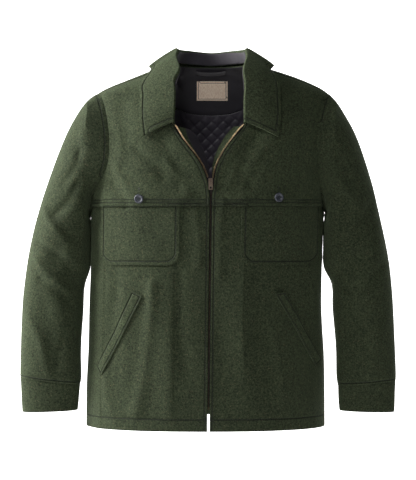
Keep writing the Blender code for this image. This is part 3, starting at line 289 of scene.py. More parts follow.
@dataclass(frozen=True)
class Thread:
    """Twisted sewing thread."""

    name: str
    colour: Colour
    slot: str
    pitch: float = 0.0034
    thick: float = 0.0007

    def build(self) -> bpy.types.Material:
        """Makes the material."""
        graph = Graph(self.name)
        lighter = tuple(min(1.0, 1.5 * c) for c in self.colour)
        colour = graph.mix(graph.noise(2500, 1), self.colour, lighter)
        normal = graph.bump(graph.noise(3000, 1), 0.3, 0.0002)
        return graph.finish(colour, normal, roughness=0.6, gloss=0.35)


@dataclass(frozen=True)
class Metal:
    """Warm metal, duller where it is touched less."""

    name: str
    bright: Colour
    dull: Colour
    slot: str
    gloss: float = 0.34

    def build(self) -> bpy.types.Material:
        """Makes the material."""
        graph = Graph(self.name)
        wear = graph.ramp(graph.noise(260, 3, 0.6), 0.35, 0.7)
        colour = graph.mix(wear, self.dull, self.bright)
        scratches = graph.bump(graph.noise(900, 2, 0.6, (1, 1, 0.2)), 0.25, 0.0002)
        return graph.finish(colour, scratches, roughness=self.gloss, metallic=1.0)


@dataclass(frozen=True)
class Resin:
    """Cast button resin with faint clouds."""

    name: str
    dark: Colour
    light: Colour
    slot: str

    def build(self) -> bpy.types.Material:
        """Makes the material."""
        graph = Graph(self.name)
        clouds = graph.ramp(graph.noise(220, 3, 0.6, (1, 1, 2)), 0.35, 0.7)
        colour = graph.mix(clouds, self.dark, self.light)
        normal = graph.bump(graph.noise(700, 2), 0.15, 0.0002)
        material = graph.finish(colour, normal, roughness=0.46, gloss=0.45)
        graph.shader.inputs["Coat Weight"].default_value = 0.08
        graph.shader.inputs["Coat Roughness"].default_value = 0.3
        return material


@dataclass(frozen=True)
class Woven:
    """Flat woven cloth, such as a label or a zip's tape."""

    name: str
    dark: Colour
    light: Colour
    slot: str
    threads: float = 900
    line: Colour | None = None

    def build(self) -> bpy.types.Material:
        """Makes the material, with a line along its seam groove if it has one."""
        graph = Graph(self.name)
        warp = graph.noise(self.threads, 1, 0.5, (1, 1, 0.15))
        weft = graph.noise(self.threads, 1, 0.5, (0.15, 1, 1))
        colour = graph.mix(graph.ramp(warp, 0.35, 0.65), self.dark, self.light)
        if self.line:
            away = graph.ramp(graph.maths("ABSOLUTE", graph.attribute(SEAM_OFFSET)), 0.4, 0.65)
            colour = graph.mix(away, self.line, colour)
        normal = graph.bump(weft, 0.4, 0.0003, graph.bump(warp, 0.4, 0.0003))
        return graph.finish(colour, normal, roughness=0.88, gloss=0.2)


FLECK = (0.105, 0.090, 0.048)
SHELL = Wool(
    "shell_wool_dressed", (0.0065, 0.0098, 0.0046), (0.037, 0.049, 0.024), FLECK, "shell_wool",
)
YOKE = Wool(
    "yoke_wool_dressed", (0.0072, 0.0108, 0.0050), (0.040, 0.053, 0.026), FLECK, "yoke_wool",
)
TRIM = Wool(
    "trim_wool_dressed", (0.0080, 0.0116, 0.0056), (0.043, 0.057, 0.028), FLECK, "trim_wool",
)
PLAIN_LINING = Lining(
    "dark_lining_dressed", (0.014, 0.012, 0.017), (0.022, 0.019, 0.026), "dark_lining",
)
STAND_LINING = Lining(
    "stand_lining_dressed", (0.022, 0.019, 0.026), (0.030, 0.027, 0.035), "dark_lining", 0.85,
)
LOOP_SATIN = Lining(
    "loop_satin", (0.045, 0.042, 0.048), (0.080, 0.075, 0.082), "dark_lining", 0.4,
)
QUILTED = Lining(
    "quilted_lining_dressed", (0.024, 0.020, 0.029), (0.040, 0.035, 0.048), "quilted_lining", 0.42,
)
TAPE = Woven("zip_tape_dressed", (0.006, 0.006, 0.006), (0.016, 0.015, 0.014), "zip_tape")
LABEL = Woven(
    "label_dressed", (0.80, 0.61, 0.47), (0.95, 0.80, 0.65), "label_cloth", 700, (0.08, 0.05, 0.035),
)
SEAM_THREAD = Thread("seam_thread", (0.012, 0.017, 0.010), "shell_wool")
QUILT_THREAD = Thread("quilt_thread", (0.016, 0.014, 0.020), "quilted_lining", 0.0030, 0.0005)
BRASS = Metal("zip_brass", (0.62, 0.46, 0.27), (0.30, 0.21, 0.12), "zip_metal")
# Painted shade: a darker, duller copy of the brass for the shut teeth in the slot below the slider.
SHADED_BRASS = Metal(
    "zip_brass_painted_shade", (0.10, 0.075, 0.045), (0.04, 0.030, 0.018), "zip_metal", 0.6,
)
SLIDER_METAL = Metal(
    "slider_metal", (0.66, 0.53, 0.42), (0.38, 0.29, 0.22), "zip_metal", 0.3,
)
BUTTON = Resin("button_resin_dressed", (0.016, 0.019, 0.028), (0.060, 0.066, 0.086), "button_resin")

Finish = Wool | Lining | Thread | Metal | Resin | Woven
_made: dict[str, bpy.types.Material] = {}


def material_of(finish: Finish) -> bpy.types.Material:
    """The finish's material, made once."""
    if finish.name not in _made:
        _made[finish.name] = finish.build()
    return _made[finish.name]


# Creases
@dataclass(frozen=True)
class Crease:
    """A soft, uneven trough or ridge along a line.

    Sizes are in millimetres: start and end are (across, level), where across is X on the front and
    back and Y on the sides. Height is out of the cloth, and a trough's is below 0.
    """

    region: Region
    face: Face
    start: tuple[float, float]
    end: tuple[float, float]
    width: float
    height: float
    bow: float = 0.0

    def lift(self, points: Array) -> Array:
        """Height of this crease at each (across, level) point, in millimetres."""
        start = np.array(self.start)
        run = np.array(self.end) - start
        length = float(np.hypot(*run))
        along = run / length
        side = np.array((-along[1], along[0]))
        offset = points - start
        share = offset @ along / length
        middle = np.clip(share, 0.0, 1.0)
        wave = self.bow * np.sin(math.pi * middle) + 0.12 * self.width * np.sin(9 * share + self.width)
        across = offset @ side - wave
        beyond = np.maximum(0.0, np.maximum(-share, share - 1)) * length
        swell = 1 + 0.25 * np.sin(7 * share + self.start[0])
        width = self.width * (0.8 + 0.35 * middle)
        return self.height * swell * np.exp(-((across / width) ** 2) - (beyond / (0.8 * self.width)) ** 2)


# Start, end, width, height and bow of each crease, as in Crease
CREASE_ROWS = {
    (Region.BODY, Face.FRONT): (
        ((-118, -455), (-150, -715), 13, 3.3, 8),
        ((-60, -430), (-48, -640), 12, -2.4, -6),
        ((-30, -300), (-22, -420), 9, 1.8, 3),
        ((26, -290), (20, -440), 9, 2.0, -3),
        ((90, -430), (86, -560), 12, -2.7, 5),
        ((118, -520), (150, -715), 13, 3.0, 6),
        ((-190, -430), (-205, -560), 12, -2.7, 4),
        ((-215, -610), (-196, -735), 12, 2.7, -4),
        ((205, -420), (216, -530), 11, 2.4, 3),
        ((-150, -180), (-92, -240), 9, -2.1, 4),
        ((-196, -205), (-150, -282), 9, 2.4, -3),
        ((-200, -250), (-168, -296), 8, -2.2, 2),
        ((-88, -205), (-44, -270), 9, 2.2, 3),
        ((60, -205), (34, -265), 9, 2.0, -3),
        ((120, -190), (80, -255), 10, -2.2, -4),
        ((205, -190), (172, -280), 9, 2.4, 4),
        ((210, -240), (186, -292), 8, -2.1, 2),
    ),
    (Region.BODY, Face.LEFT): (
        ((0, -306), (0, -328), 16, 2.3, 0),
        ((0, -339), (0, -347), 10, 0.7, 0),
        ((0, -352), (0, -380), 16, 0.6, 0),
    ),
    (Region.BODY, Face.RIGHT): (
        ((0, -306), (0, -330), 16, 2.6, 0),
        ((0, -340), (0, -348), 10, 0.7, 0),
        ((0, -352), (0, -400), 16, 0.8, 0),
    ),
    (Region.SLEEVE_LEFT, Face.RIGHT): (
        ((0, -306), (0, -328), 16, 2.4, 0),
        ((0, -339), (0, -347), 10, 0.7, 0),
        ((0, -352), (0, -380), 16, 0.6, 0),
    ),
    (Region.SLEEVE_RIGHT, Face.LEFT): (
        ((0, -306), (0, -330), 16, 2.6, 0),
        ((0, -340), (0, -348), 10, 0.7, 0),
        ((0, -352), (0, -400), 16, 0.8, 0),
    ),
    (Region.BODY, Face.BACK): (
        ((-150, -110), (-100, -250), 15, -2.4, 6),
        ((150, -110), (104, -250), 15, -2.2, -6),
        ((-190, -200), (-140, -310), 12, 2.7, -4),
        ((196, -200), (144, -320), 12, 2.5, 4),
        ((-30, -400), (-42, -720), 14, 2.7, 8),
        ((52, -430), (60, -730), 13, -2.5, -7),
        ((-170, -420), (-180, -700), 14, 2.7, 5),
        ((190, -430), (176, -700), 14, -2.4, 5),
    ),
    (Region.SLEEVE_LEFT, Face.FRONT): (
        ((-262, -180), (-300, -250), 9, -2.8, 5),
        ((-268, -250), (-322, -318), 10, -3.6, 5),
        ((-340, -300), (-288, -372), 9, 3.1, -5),
        ((-352, -372), (-282, -424), 9, -3.4, 6),
        ((-356, -404), (-286, -470), 9, 3.1, -4),
        ((-350, -446), (-284, -500), 8, -2.8, 4),
        ((-372, -520), (-330, -640), 10, 2.8, 6),
        ((-296, -560), (-316, -650), 8, -2.8, -3),
    ),
    (Region.SLEEVE_LEFT, Face.BACK): (
        ((-350, -390), (-280, -450), 10, 3.4, 5),
        ((-352, -440), (-282, -486), 9, -3.4, -4),
        ((-300, -200), (-330, -330), 12, -2.8, 5),
    ),
    (Region.SLEEVE_RIGHT, Face.FRONT): (
        ((252, -170), (292, -245), 9, -2.8, -5),
        ((262, -236), (312, -300), 9, 3.1, -4),
        ((332, -290), (268, -372), 10, -3.4, 6),
        ((344, -340), (276, -412), 9, 2.8, -4),
        ((352, -420), (282, -468), 9, -3.4, 5),
        ((350, -462), (276, -512), 8, 2.5, -4),
        ((362, -530), (326, -645), 10, 2.8, -6),
        ((288, -560), (306, -650), 8, -2.5, 3),
    ),
    (Region.SLEEVE_RIGHT, Face.BACK): (
        ((344, -384), (274, -446), 10, 3.4, -5),
        ((346, -432), (276, -480), 9, -3.4, 4),
        ((296, -200), (324, -330), 12, -2.8, -5),
    ),
}
CREASES = tuple(Crease(*place, *row) for place, rows in CREASE_ROWS.items() for row in rows)

# Axis of each region: level, centre across, centre in depth, half width, half depth, in millimetres
REGION_AXES: dict[Region, tuple[tuple[float, ...], ...]] = {
    Region.BODY: (
        (-760, -8, 0, 248, 120), (-300, -5, 0, 241, 118), (0, 4, 0, 241, 118), (40, 4, 0, 241, 118),
    ),
    Region.SLEEVE_LEFT: (
        (-730, -332, -21, 58, 29), (-640, -330, -19, 62, 43), (-500, -327, -12, 63, 55),
        (-400, -312, -5, 62, 62), (-250, -294, -4, 60, 68), (-70, -262, -10, 60, 68),
    ),
    Region.SLEEVE_RIGHT: (
        (-730, 326, -21, 58, 29), (-640, 324, -19, 62, 43), (-500, 319, -12, 63, 55),
        (-400, 303, -5, 62, 62), (-250, 287, -4, 60, 68), (-70, 262, -10, 60, 68),
    ),
}


class Drape:
    """Moves cloth out and in along the creases of its region.

    A sleeve's creases fade out at its cuff and at its armhole, over levels in millimetres.
    """

    CUFF_LEVEL = -665
    CUFF_FADE = 30
    ARMHOLE_LEVEL = -120
    ARMHOLE_FADE = 60
    TURN_START = 0.15
    TURN_RANGE = 0.5

    def __init__(self, creases: Iterable[Crease]) -> None:
        """Keeps the creases that move points."""
        self.creases = tuple(creases)

    def shifts(self, points: Array, region: Region) -> Array:
        """The move of each point.

        Args:
            points: places in the frame, in metres, one a row.
            region: the part of the coat that they belong to.

        Returns:
            One move a row, in metres.
        """
        places = points / MM
        axis = np.array(REGION_AXES[region])
        level = places[:, 2]
        cx, cy, a, b = (np.interp(level, axis[:, 0], axis[:, i]) for i in range(1, 5))
        out = np.stack(((places[:, 0] - cx) / a ** 2, (places[:, 1] - cy) / b ** 2), axis=1)
        out /= np.maximum(1e-9, np.linalg.norm(out, axis=1))[:, None]
        height = np.zeros(len(points))
        for crease in self.creases:
            if crease.region is not region:
                continue
            way_x, way_y, across = crease.face.value
            turn = out[:, 0] * way_x + out[:, 1] * way_y
            facing = np.clip((turn - self.TURN_START) / self.TURN_RANGE, 0.0, 1.0)
            height += crease.lift(places[:, (across, 2)]) * facing * facing * (3 - 2 * facing)
        height *= self._ends(level, region)
        return np.column_stack((out[:, 0] * height, out[:, 1] * height, np.zeros(len(points)))) * MM

    def _ends(self, level: Array, region: Region) -> Array:
        """Fades the creases out where a sleeve meets its armhole and its cuff."""
        if region is Region.BODY:
            return np.ones(len(level))
        low = np.clip((level - self.CUFF_LEVEL) / self.CUFF_FADE, 0.0, 1.0)
        high = np.clip((self.ARMHOLE_LEVEL - level) / self.ARMHOLE_FADE, 0.0, 1.0)
        return low * high


DRAPE = Drape(CREASES)


# Cloth made from the frame's walls
def mesh_arrays(mesh: bpy.types.Mesh) -> Array:
    """A mesh's points, one a row."""
    flat = np.zeros(len(mesh.vertices) * 3)
    mesh.vertices.foreach_get("co", flat)
    return flat.reshape(-1, 3)


def put_arrays(mesh: bpy.types.Mesh, points: Array) -> None:
    """Writes a mesh's points back."""
    mesh.vertices.foreach_set("co", points.reshape(-1))
    mesh.update()


def temporary(name: str, mesh: bpy.types.Mesh) -> bpy.types.Object:
    """An object for a mesh, linked to the scene."""
    item = bpy.data.objects.new(name, mesh)
    bpy.context.scene.collection.objects.link(item)
    return item


def applied(item: bpy.types.Object) -> bpy.types.Mesh:
    """The mesh of an object with its modifiers applied."""
    graph = bpy.context.evaluated_depsgraph_get()
    graph.update()
    return bpy.data.meshes.new_from_object(item.evaluated_get(graph))


def shaped(name: str, shape: bmesh.types.BMesh) -> bpy.types.Object:
    """An object for a shape, which is used up."""
    data = bpy.data.meshes.new(name)
    shape.to_mesh(data)
    shape.free()
    return temporary(name, data)


def small_piece(name: str, shape: bmesh.types.BMesh, *finishes: Finish) -> bpy.types.Object:
    """A small piece on the coat, with the material of each of its finishes."""
    item = shaped(name, shape)
    for finish in finishes:
        item.data.materials.append(material_of(finish))
    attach(item, GARMENT)
    return item


def joined_wall(node: bpy.types.Object) -> bmesh.types.BMesh:
    """A frame node's wall with its triangles joined into four-sided faces."""
    wall = bmesh.new()
    wall.from_mesh(node.data)
    bmesh.ops.remove_doubles(wall, verts=wall.verts, dist=MERGE)
    bmesh.ops.join_triangles(
        wall, faces=wall.faces, angle_face_threshold=JOIN_FACE_ANGLE,
        angle_shape_threshold=JOIN_SHAPE_ANGLE,
    )
    return wall


def even_wall(node: bpy.types.Object) -> bpy.types.Mesh:
    """A frame node's wall with its rims marked as creases."""
    wall = joined_wall(node)
    creases = wall.edges.layers.float.new("crease_edge")
    for edge in wall.edges:
        edge.smooth = True
        edge[creases] = 1.0 if edge.calc_face_angle(0.0) > RIM_ANGLE else 0.0
    for face in wall.faces:
        face.smooth = True
    mesh = bpy.data.meshes.new(node.name + "_wall")
    wall.to_mesh(mesh)
    wall.free()
    return mesh


def refined(mesh: bpy.types.Mesh, levels: int, passes: int = 3) -> bpy.types.Mesh:
    """A smooth finer mesh that still goes through the points of the given one.

    Args:
        mesh: the coarse mesh, which is used up.
        levels: how often each face is split.
        passes: how often the coarse points are corrected.

    Returns:
        The finer mesh.
    """
    item = temporary("refining", mesh)
    step = item.modifiers.new("split", "SUBSURF")
    step.levels = step.render_levels = 1
    goal = mesh_arrays(mesh)
    for _ in range(passes):
        smooth = applied(item)
        error = goal - mesh_arrays(smooth)[:len(goal)]
        put_arrays(mesh, mesh_arrays(mesh) + error)
        bpy.data.meshes.remove(smooth)
    step.levels = step.render_levels = levels
    fine = applied(item)
    bpy.data.objects.remove(item)
    bpy.data.meshes.remove(mesh)
    return fine


def soften_rims(mesh: bpy.types.Mesh, width: float) -> None:
    """Rounds the rims of a wall by a small width, in metres."""
    wall = bmesh.new()
    wall.from_mesh(mesh)
    rims = [e for e in wall.edges if e.calc_face_angle(0.0) > RIM_ANGLE]
    bmesh.ops.bevel(
        wall, geom=rims, offset=width, offset_type="OFFSET", segments=2, profile=0.5, affect="EDGES",
        clamp_overlap=True, material=-1,
    )
    for face in wall.faces:
        face.smooth = True
    wall.to_mesh(mesh)
    wall.free()


def distance_to(points: Array, line: Sequence[Vector], closed: bool) -> Array:
    """How far each point is from a line through others."""
    ring = np.array([tuple(p) for p in line] + ([tuple(line[0])] if closed else []))
    nearest = np.full(len(points), np.inf)
    for a, b in zip(ring, ring[1:]):
        run = b - a
        share = np.clip((points - a) @ run / max(float(run @ run), 1e-12), 0.0, 1.0)
        nearest = np.minimum(nearest, np.linalg.norm(points - a - share[:, None] * run, axis=1))
    return nearest


RimTest = Callable[[Vector, Vector], bool]


@dataclass(frozen=True)
class Seam:
    """A groove along some of a piece's rims, so far in from them in millimetres, which the wool bumps and
    paints with shade, and which is stitched where sewn.
    """

    inset: float
    wanted: RimTest
    sewn: bool = True
    fineness: float = 1.0


@dataclass(frozen=True)
class Cut:
    """The flat size that a piece is cut to: width and length in metres, and its area in square metres."""

    width: float
    length: float
    area: float


@dataclass
class ClothPiece:
    """One cut piece of cloth, made from its frame node's wall."""

    node: str
    finish: Finish
    region: Region
    cut: Cut
    levels: int = 3
    rim: float = 0.0007
    seams: tuple[Seam, ...] = ()
    item: bpy.types.Object = field(init=False)

    def build(self) -> bpy.types.Object:
        """Makes the dressed piece in the node's place."""
        mesh = refined(even_wall(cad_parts[self.node]), self.levels)
        points = mesh_arrays(mesh)
        put_arrays(mesh, points + DRAPE.shifts(points, self.region))
        self.form(mesh)
        if self.rim:
            soften_rims(mesh, self.rim)
        self.mark_seams(mesh)
        mesh.materials.clear()
        mesh.materials.append(material_of(self.finish))
        mesh.shade_smooth()
        mesh.set_sharp_from_angle(angle=SMOOTH_ANGLE)
        mesh.name = self.node + "_cloth"
        self.item = temporary(self.node + "_cloth", mesh)
        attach(self.item, GARMENT)
        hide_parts(self.node)
        LOG.info("%s: %d faces", self.node, len(mesh.polygons))
        return self.item

    def form(self, mesh: bpy.types.Mesh) -> None:
        """Adds form of the piece's own: none on a plain one."""

    def mark_seams(self, mesh: bpy.types.Mesh) -> None:
        """Stores each point's distance past the nearest groove in millimetres, below 0 beside the rim, for
        the wool's groove bump and painted groove shade.
        """
        points = mesh_arrays(mesh)
        points = points - DRAPE.shifts(points, self.region)
        offset = np.full(len(points), FAR)
        for seam in self.seams:
            for run in rim_runs(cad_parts[self.node], seam.wanted):
                past = distance_to(points, run.points, run.closed) / MM - seam.inset
                past *= seam.fineness
                nearer = np.abs(past) < np.abs(offset)
                offset[nearer] = past[nearer]
        layer = mesh.attributes.new(SEAM_OFFSET, "FLOAT", "POINT")
        layer.data.foreach_set("value", offset)

    def declare(self) -> None:
        """Does nothing: the piece's flat cut is not stated."""


@dataclass
class QuiltedPiece(ClothPiece):
    """Lining quilted in diamonds: its shown side is puffed between the stitch lines."""

    pitch: float = 0.0125
    middle: float = 0.004
    half: int = 6
    rows: int = 12
    end: float = -0.243
    puff: float = 0.0012
    clear: float = 0.3

    def top_edge(self, across: Array | float) -> Array | float:
        """Level of the quilting's top edge at places across."""
        own = mesh_arrays(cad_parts[self.node].data)
        columns = self.middle + self.pitch * np.arange(-self.half, self.half + 1)
        tops = [own[np.abs(own[:, 0] - x) < self.pitch / 6, 2].max() for x in columns]
        return np.interp(across, columns, tops)

    def lattice(self, points: Array) -> tuple[Array, Array]:
        """Places on the quilting's grid: columns from its left edge and rows from its top edge."""
        start = self.top_edge(points[:, 0])
        across = (points[:, 0] - self.middle) / self.pitch + self.half
        down = (start - points[:, 2]) / (start - self.end) * self.rows
        return across, down

    def form(self, mesh: bpy.types.Mesh) -> None:
        """Puffs the diamonds on the side that faces into the coat."""
        points = mesh_arrays(mesh)
        normals = np.zeros(len(points) * 3)
        mesh.vertices.foreach_get("normal", normals)
        shown = np.clip(-normals.reshape(-1, 3)[:, 1] * 3, 0.0, 1.0)
        across, down = self.lattice(points)
        rising = np.abs((across + down) % 2 - 1)
        falling = np.abs((across - down) % 2 - 1)
        inside = np.clip(self.half - np.abs(across - self.half), 0.0, 1.0)
        inside *= np.clip(self.rows - down, 0.0, 1.0) * np.clip(down, 0.0, 1.0)
        rise = np.clip(np.minimum(rising, falling) / 0.5, 0.0, 1.0)
        height = self.puff * (rise * (2 - rise) - 0.7) * inside * shown
        points[:, 1] -= height
        put_arrays(mesh, points)


    def stitch_lines(self, tree: BVHTree) -> list[list[Vector]]:
        """The slanting lines between the diamonds, on the shown side."""
        across = np.linspace(0, 2 * self.half, 8 * self.half + 1)
        reach = 2 * self.half + self.rows
        lines: list[list[Vector]] = []
        for slope in (-1, 1):
            for start in range(-reach, reach + 1):
                if start % 2:
                    line = self._drawn(across, start + slope * (across - self.half), tree)
                    if len(line) > 3:
                        lines.append(line)
        return lines

    def _drawn(self, across: Array, down: Array, tree: BVHTree) -> list[Vector]:
        """The stretch of one grid line that lies on the quilting."""
        line: list[Vector] = []
        for column, row in zip(across, down):
            inside = self.clear < column < 2 * self.half - self.clear
            if not inside or not self.clear < row < self.rows - self.clear:
                continue
            x = self.middle + self.pitch * (column - self.half)
            top = float(self.top_edge(x))
            level = top - row / self.rows * (top - self.end)
            hit, _, _, _ = tree.ray_cast(Vector((x, -0.06, level)), Vector((0, 1, 0)))
            if hit is not None:
                line.append(hit)
        return line


# Sewing
@dataclass(frozen=True)
class RimRun:
    """An open or closed run of a wall's outer rim: points, ways in from the rim, and outward normals."""

    points: list[Vector]
    inward: list[Vector]
    closed: bool


def narrow_side(face: bmesh.types.BMFace) -> float:
    """A face's mean width across its longest edge."""
    return face.calc_area() / max(edge.calc_length() for edge in face.edges)


def rim_runs(node: bpy.types.Object, wanted: RimTest) -> list[RimRun]:
    """The runs of a node's rims that a test picks.

    Args:
        node: the frame node.
        wanted: takes the middle of a rim edge in millimetres and the outward normal beside it.

    Returns:
        The runs, each in order.
    """
    wall = joined_wall(node)
    links: dict[int, list[tuple[int, Vector]]] = {}
    places: dict[int, Vector] = {}
    for edge in wall.edges:
        if len(edge.link_faces) != 2 or edge.calc_face_angle(0.0) < RIM_ANGLE:
            continue
        panel = max(edge.link_faces, key=narrow_side)
        if min(map(narrow_side, edge.link_faces)) > THICKEST_RIM:
            continue
        middle = (edge.verts[0].co + edge.verts[1].co) / 2
        if not wanted(middle / MM, panel.normal):
            continue
        along = (edge.verts[1].co - edge.verts[0].co).normalized()
        inward = panel.normal.cross(along).normalized()
        if inward.dot(panel.calc_center_median() - middle) < 0:
            inward = -inward
        for a, b in (edge.verts, reversed(edge.verts)):
            links.setdefault(a.index, []).append((b.index, inward))
            places[a.index] = a.co.copy()
    wall.free()
    return _chains(links, places)


def _chains(links: dict[int, list[tuple[int, Vector]]], places: dict[int, Vector]) -> list[RimRun]:
    """Joins linked rim points into runs."""
    runs: list[RimRun] = []
    left = set(links)
    ends = [i for i in sorted(links) if len(links[i]) == 1]
    for start in ends + sorted(links):
        if start not in left:
            continue
        order = [start]
        left.discard(start)
        while True:
            onward = [j for j, _ in links[order[-1]] if j in left]
            if not onward:
                break
            order.append(onward[0])
            left.discard(onward[0])
        if len(order) < 2:
            continue
        closed = len(order) > 3 and any(j == start for j, _ in links[order[-1]])
        ways = [sum((way for _, way in links[i]), Vector()).normalized() for i in order]
        runs.append(RimRun([places[i] for i in order], ways, closed))
    return runs


def spaced(points: Sequence[Vector], pitch: float, closed: bool = False) -> list[tuple[Vector, Vector]]:
    """Places at an even pitch on a smooth path through points, each with its direction."""
    ring = list(points) + ([points[0]] if closed else [])
    fine: list[Vector] = []
    for i in range(len(ring) - 1):
        a, b = ring[i], ring[i + 1]
        before = ring[i - 1] if i else (points[-1] if closed else a * 2 - b)
        after = ring[i + 2] if i + 2 < len(ring) else (points[1] if closed else b * 2 - a)
        for k in range(8):
            t = k / 8
            fine.append(0.5 * (
                2 * a + (b - before) * t + (2 * before - 5 * a + 4 * b - after) * t * t
                + (3 * a - before - 3 * b + after) * t ** 3
            ))
    fine.append(ring[-1])
    result = []
    wait = pitch / 2
    for a, b in zip(fine, fine[1:]):
        length = (b - a).length
        if length == 0:
            continue
        way = (b - a) / length
        while wait <= length:
            result.append((a + way * wait, way))
            wait += pitch
        wait -= length
    return result


class Sewing:
    """All the stitches of one thread finish, as one piece."""

    SHOWN = 0.76
    RISE = 0.15
    REACH = 0.01

    def __init__(self, finish: Thread, name: str) -> None:
        """Starts an empty piece of sewing in one thread."""
        self.finish = finish
        self.name = name
        self.mesh = bmesh.new()
        self.count = 0

    def stitch(self, place: Vector, along: Vector, normal: Vector, length: float, thick: float) -> None:
        """Adds one stitch, a little sunk into the cloth."""
        side = normal.cross(along).normalized()
        along = side.cross(normal).normalized()
        turn = Matrix((along, side, normal)).transposed().to_4x4()
        size = Matrix.Diagonal((length / 2, thick / 2, thick / 2, 1))
        matrix = Matrix.Translation(place + normal * thick * self.RISE) @ turn @ size
        bmesh.ops.create_icosphere(self.mesh, subdivisions=1, radius=1, matrix=matrix)
        self.count += 1

    def row(self, piece: ClothPiece, seam: Seam, tree: BVHTree) -> None:
        """Adds a row of stitches in a seam's groove on a dressed piece."""
        for run in rim_runs(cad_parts[piece.node], seam.wanted):
            path = [p + way * seam.inset * MM for p, way in zip(run.points, run.inward)]
            self.path(path, run.closed, tree)

    def path(self, points: Sequence[Vector], closed: bool, tree: BVHTree) -> None:
        """Adds stitches along a path, on the surface nearest to it."""
        for place, along in spaced(points, self.finish.pitch, closed):
            hit, normal, _, _ = tree.find_nearest(place)
            if hit is not None and (hit - place).length < self.REACH:
                self.stitch(hit, along, normal, self.finish.pitch * self.SHOWN, self.finish.thick)

    def build(self) -> bpy.types.Object:
        """Makes the piece from the stitches so far."""
        for face in self.mesh.faces:
            face.smooth = True
        LOG.info("%s: %d stitches", self.name, self.count)
        return small_piece(self.name, self.mesh, self.finish)


def tree_of(item: bpy.types.Object) -> BVHTree:
    """Search tree of a piece at rest."""
    return BVHTree.FromPolygons(
        [v.co for v in item.data.vertices], [tuple(p.vertices) for p in item.data.polygons],
    )


# Zip
@dataclass
class ZipTeeth:
    """The teeth on one tape's edge, deeper below the slider, where the zip is shut, and given a darker copy
    of the brass there as painted shade.
    """

    side: Side
    pitch: float = 0.0024
    size: tuple[float, float, float] = (0.0030, 0.0013, 0.0020)
    slider: float = -0.247
    end: float = -0.713
    slider_room: float = 0.0068
    sunk: float = 0.0014

    def build(self) -> bpy.types.Object:
        """Makes the row of teeth."""
        node = "zip_tape_" + self.side.value
        toward = -self.side.sign
        runs = rim_runs(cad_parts[node], self._inner_edge)
        longest = max(runs, key=lambda run: sum((b - a).length for a, b in zip(run.points, run.points[1:])))
        teeth = bmesh.new()
        points = longest.points if longest.points[0].z > longest.points[-1].z else longest.points[::-1]
        for place, along in spaced(points, self.pitch):
            if place.z < self.end or abs(place.z - self.slider) < self.slider_room:
                continue
            across = Vector((toward, 0, 0))
            across = (across - along * across.dot(along)).normalized()
            out = across.cross(along).normalized()
            out = -out if out.y > 0 else out
            sunk = self.sunk if place.z < self.slider else 0.0
            centre = place + across * self.size[0] * 0.15 + out * (0.0001 - sunk)
            turn = Matrix((across, along, out)).transposed().to_4x4()
            matrix = Matrix.Translation(centre) @ turn @ Matrix.Diagonal((*self.size, 1))
            bmesh.ops.create_cube(teeth, size=1, matrix=matrix)
        bmesh.ops.bevel(
            teeth, geom=list(teeth.edges), offset=0.00028, offset_type="OFFSET", segments=1, profile=0.5,
            affect="EDGES", clamp_overlap=True, material=-1,
        )
        # Painted shade: the teeth below the slider take the dark brass copy.
        for face in teeth.faces:
            face.material_index = 1 if face.calc_center_median().z < self.slider else 0
        LOG.info("zip teeth on the %s: %d faces", self.side.value, len(teeth.faces))
        return small_piece("zip_teeth_" + self.side.value, teeth, BRASS, SHADED_BRASS)

    def _inner_edge(self, middle: Vector, normal: Vector) -> bool:
        """Picks the tape's front rim edges, which face -Y beside the other tape."""
        return normal.y < -0.2


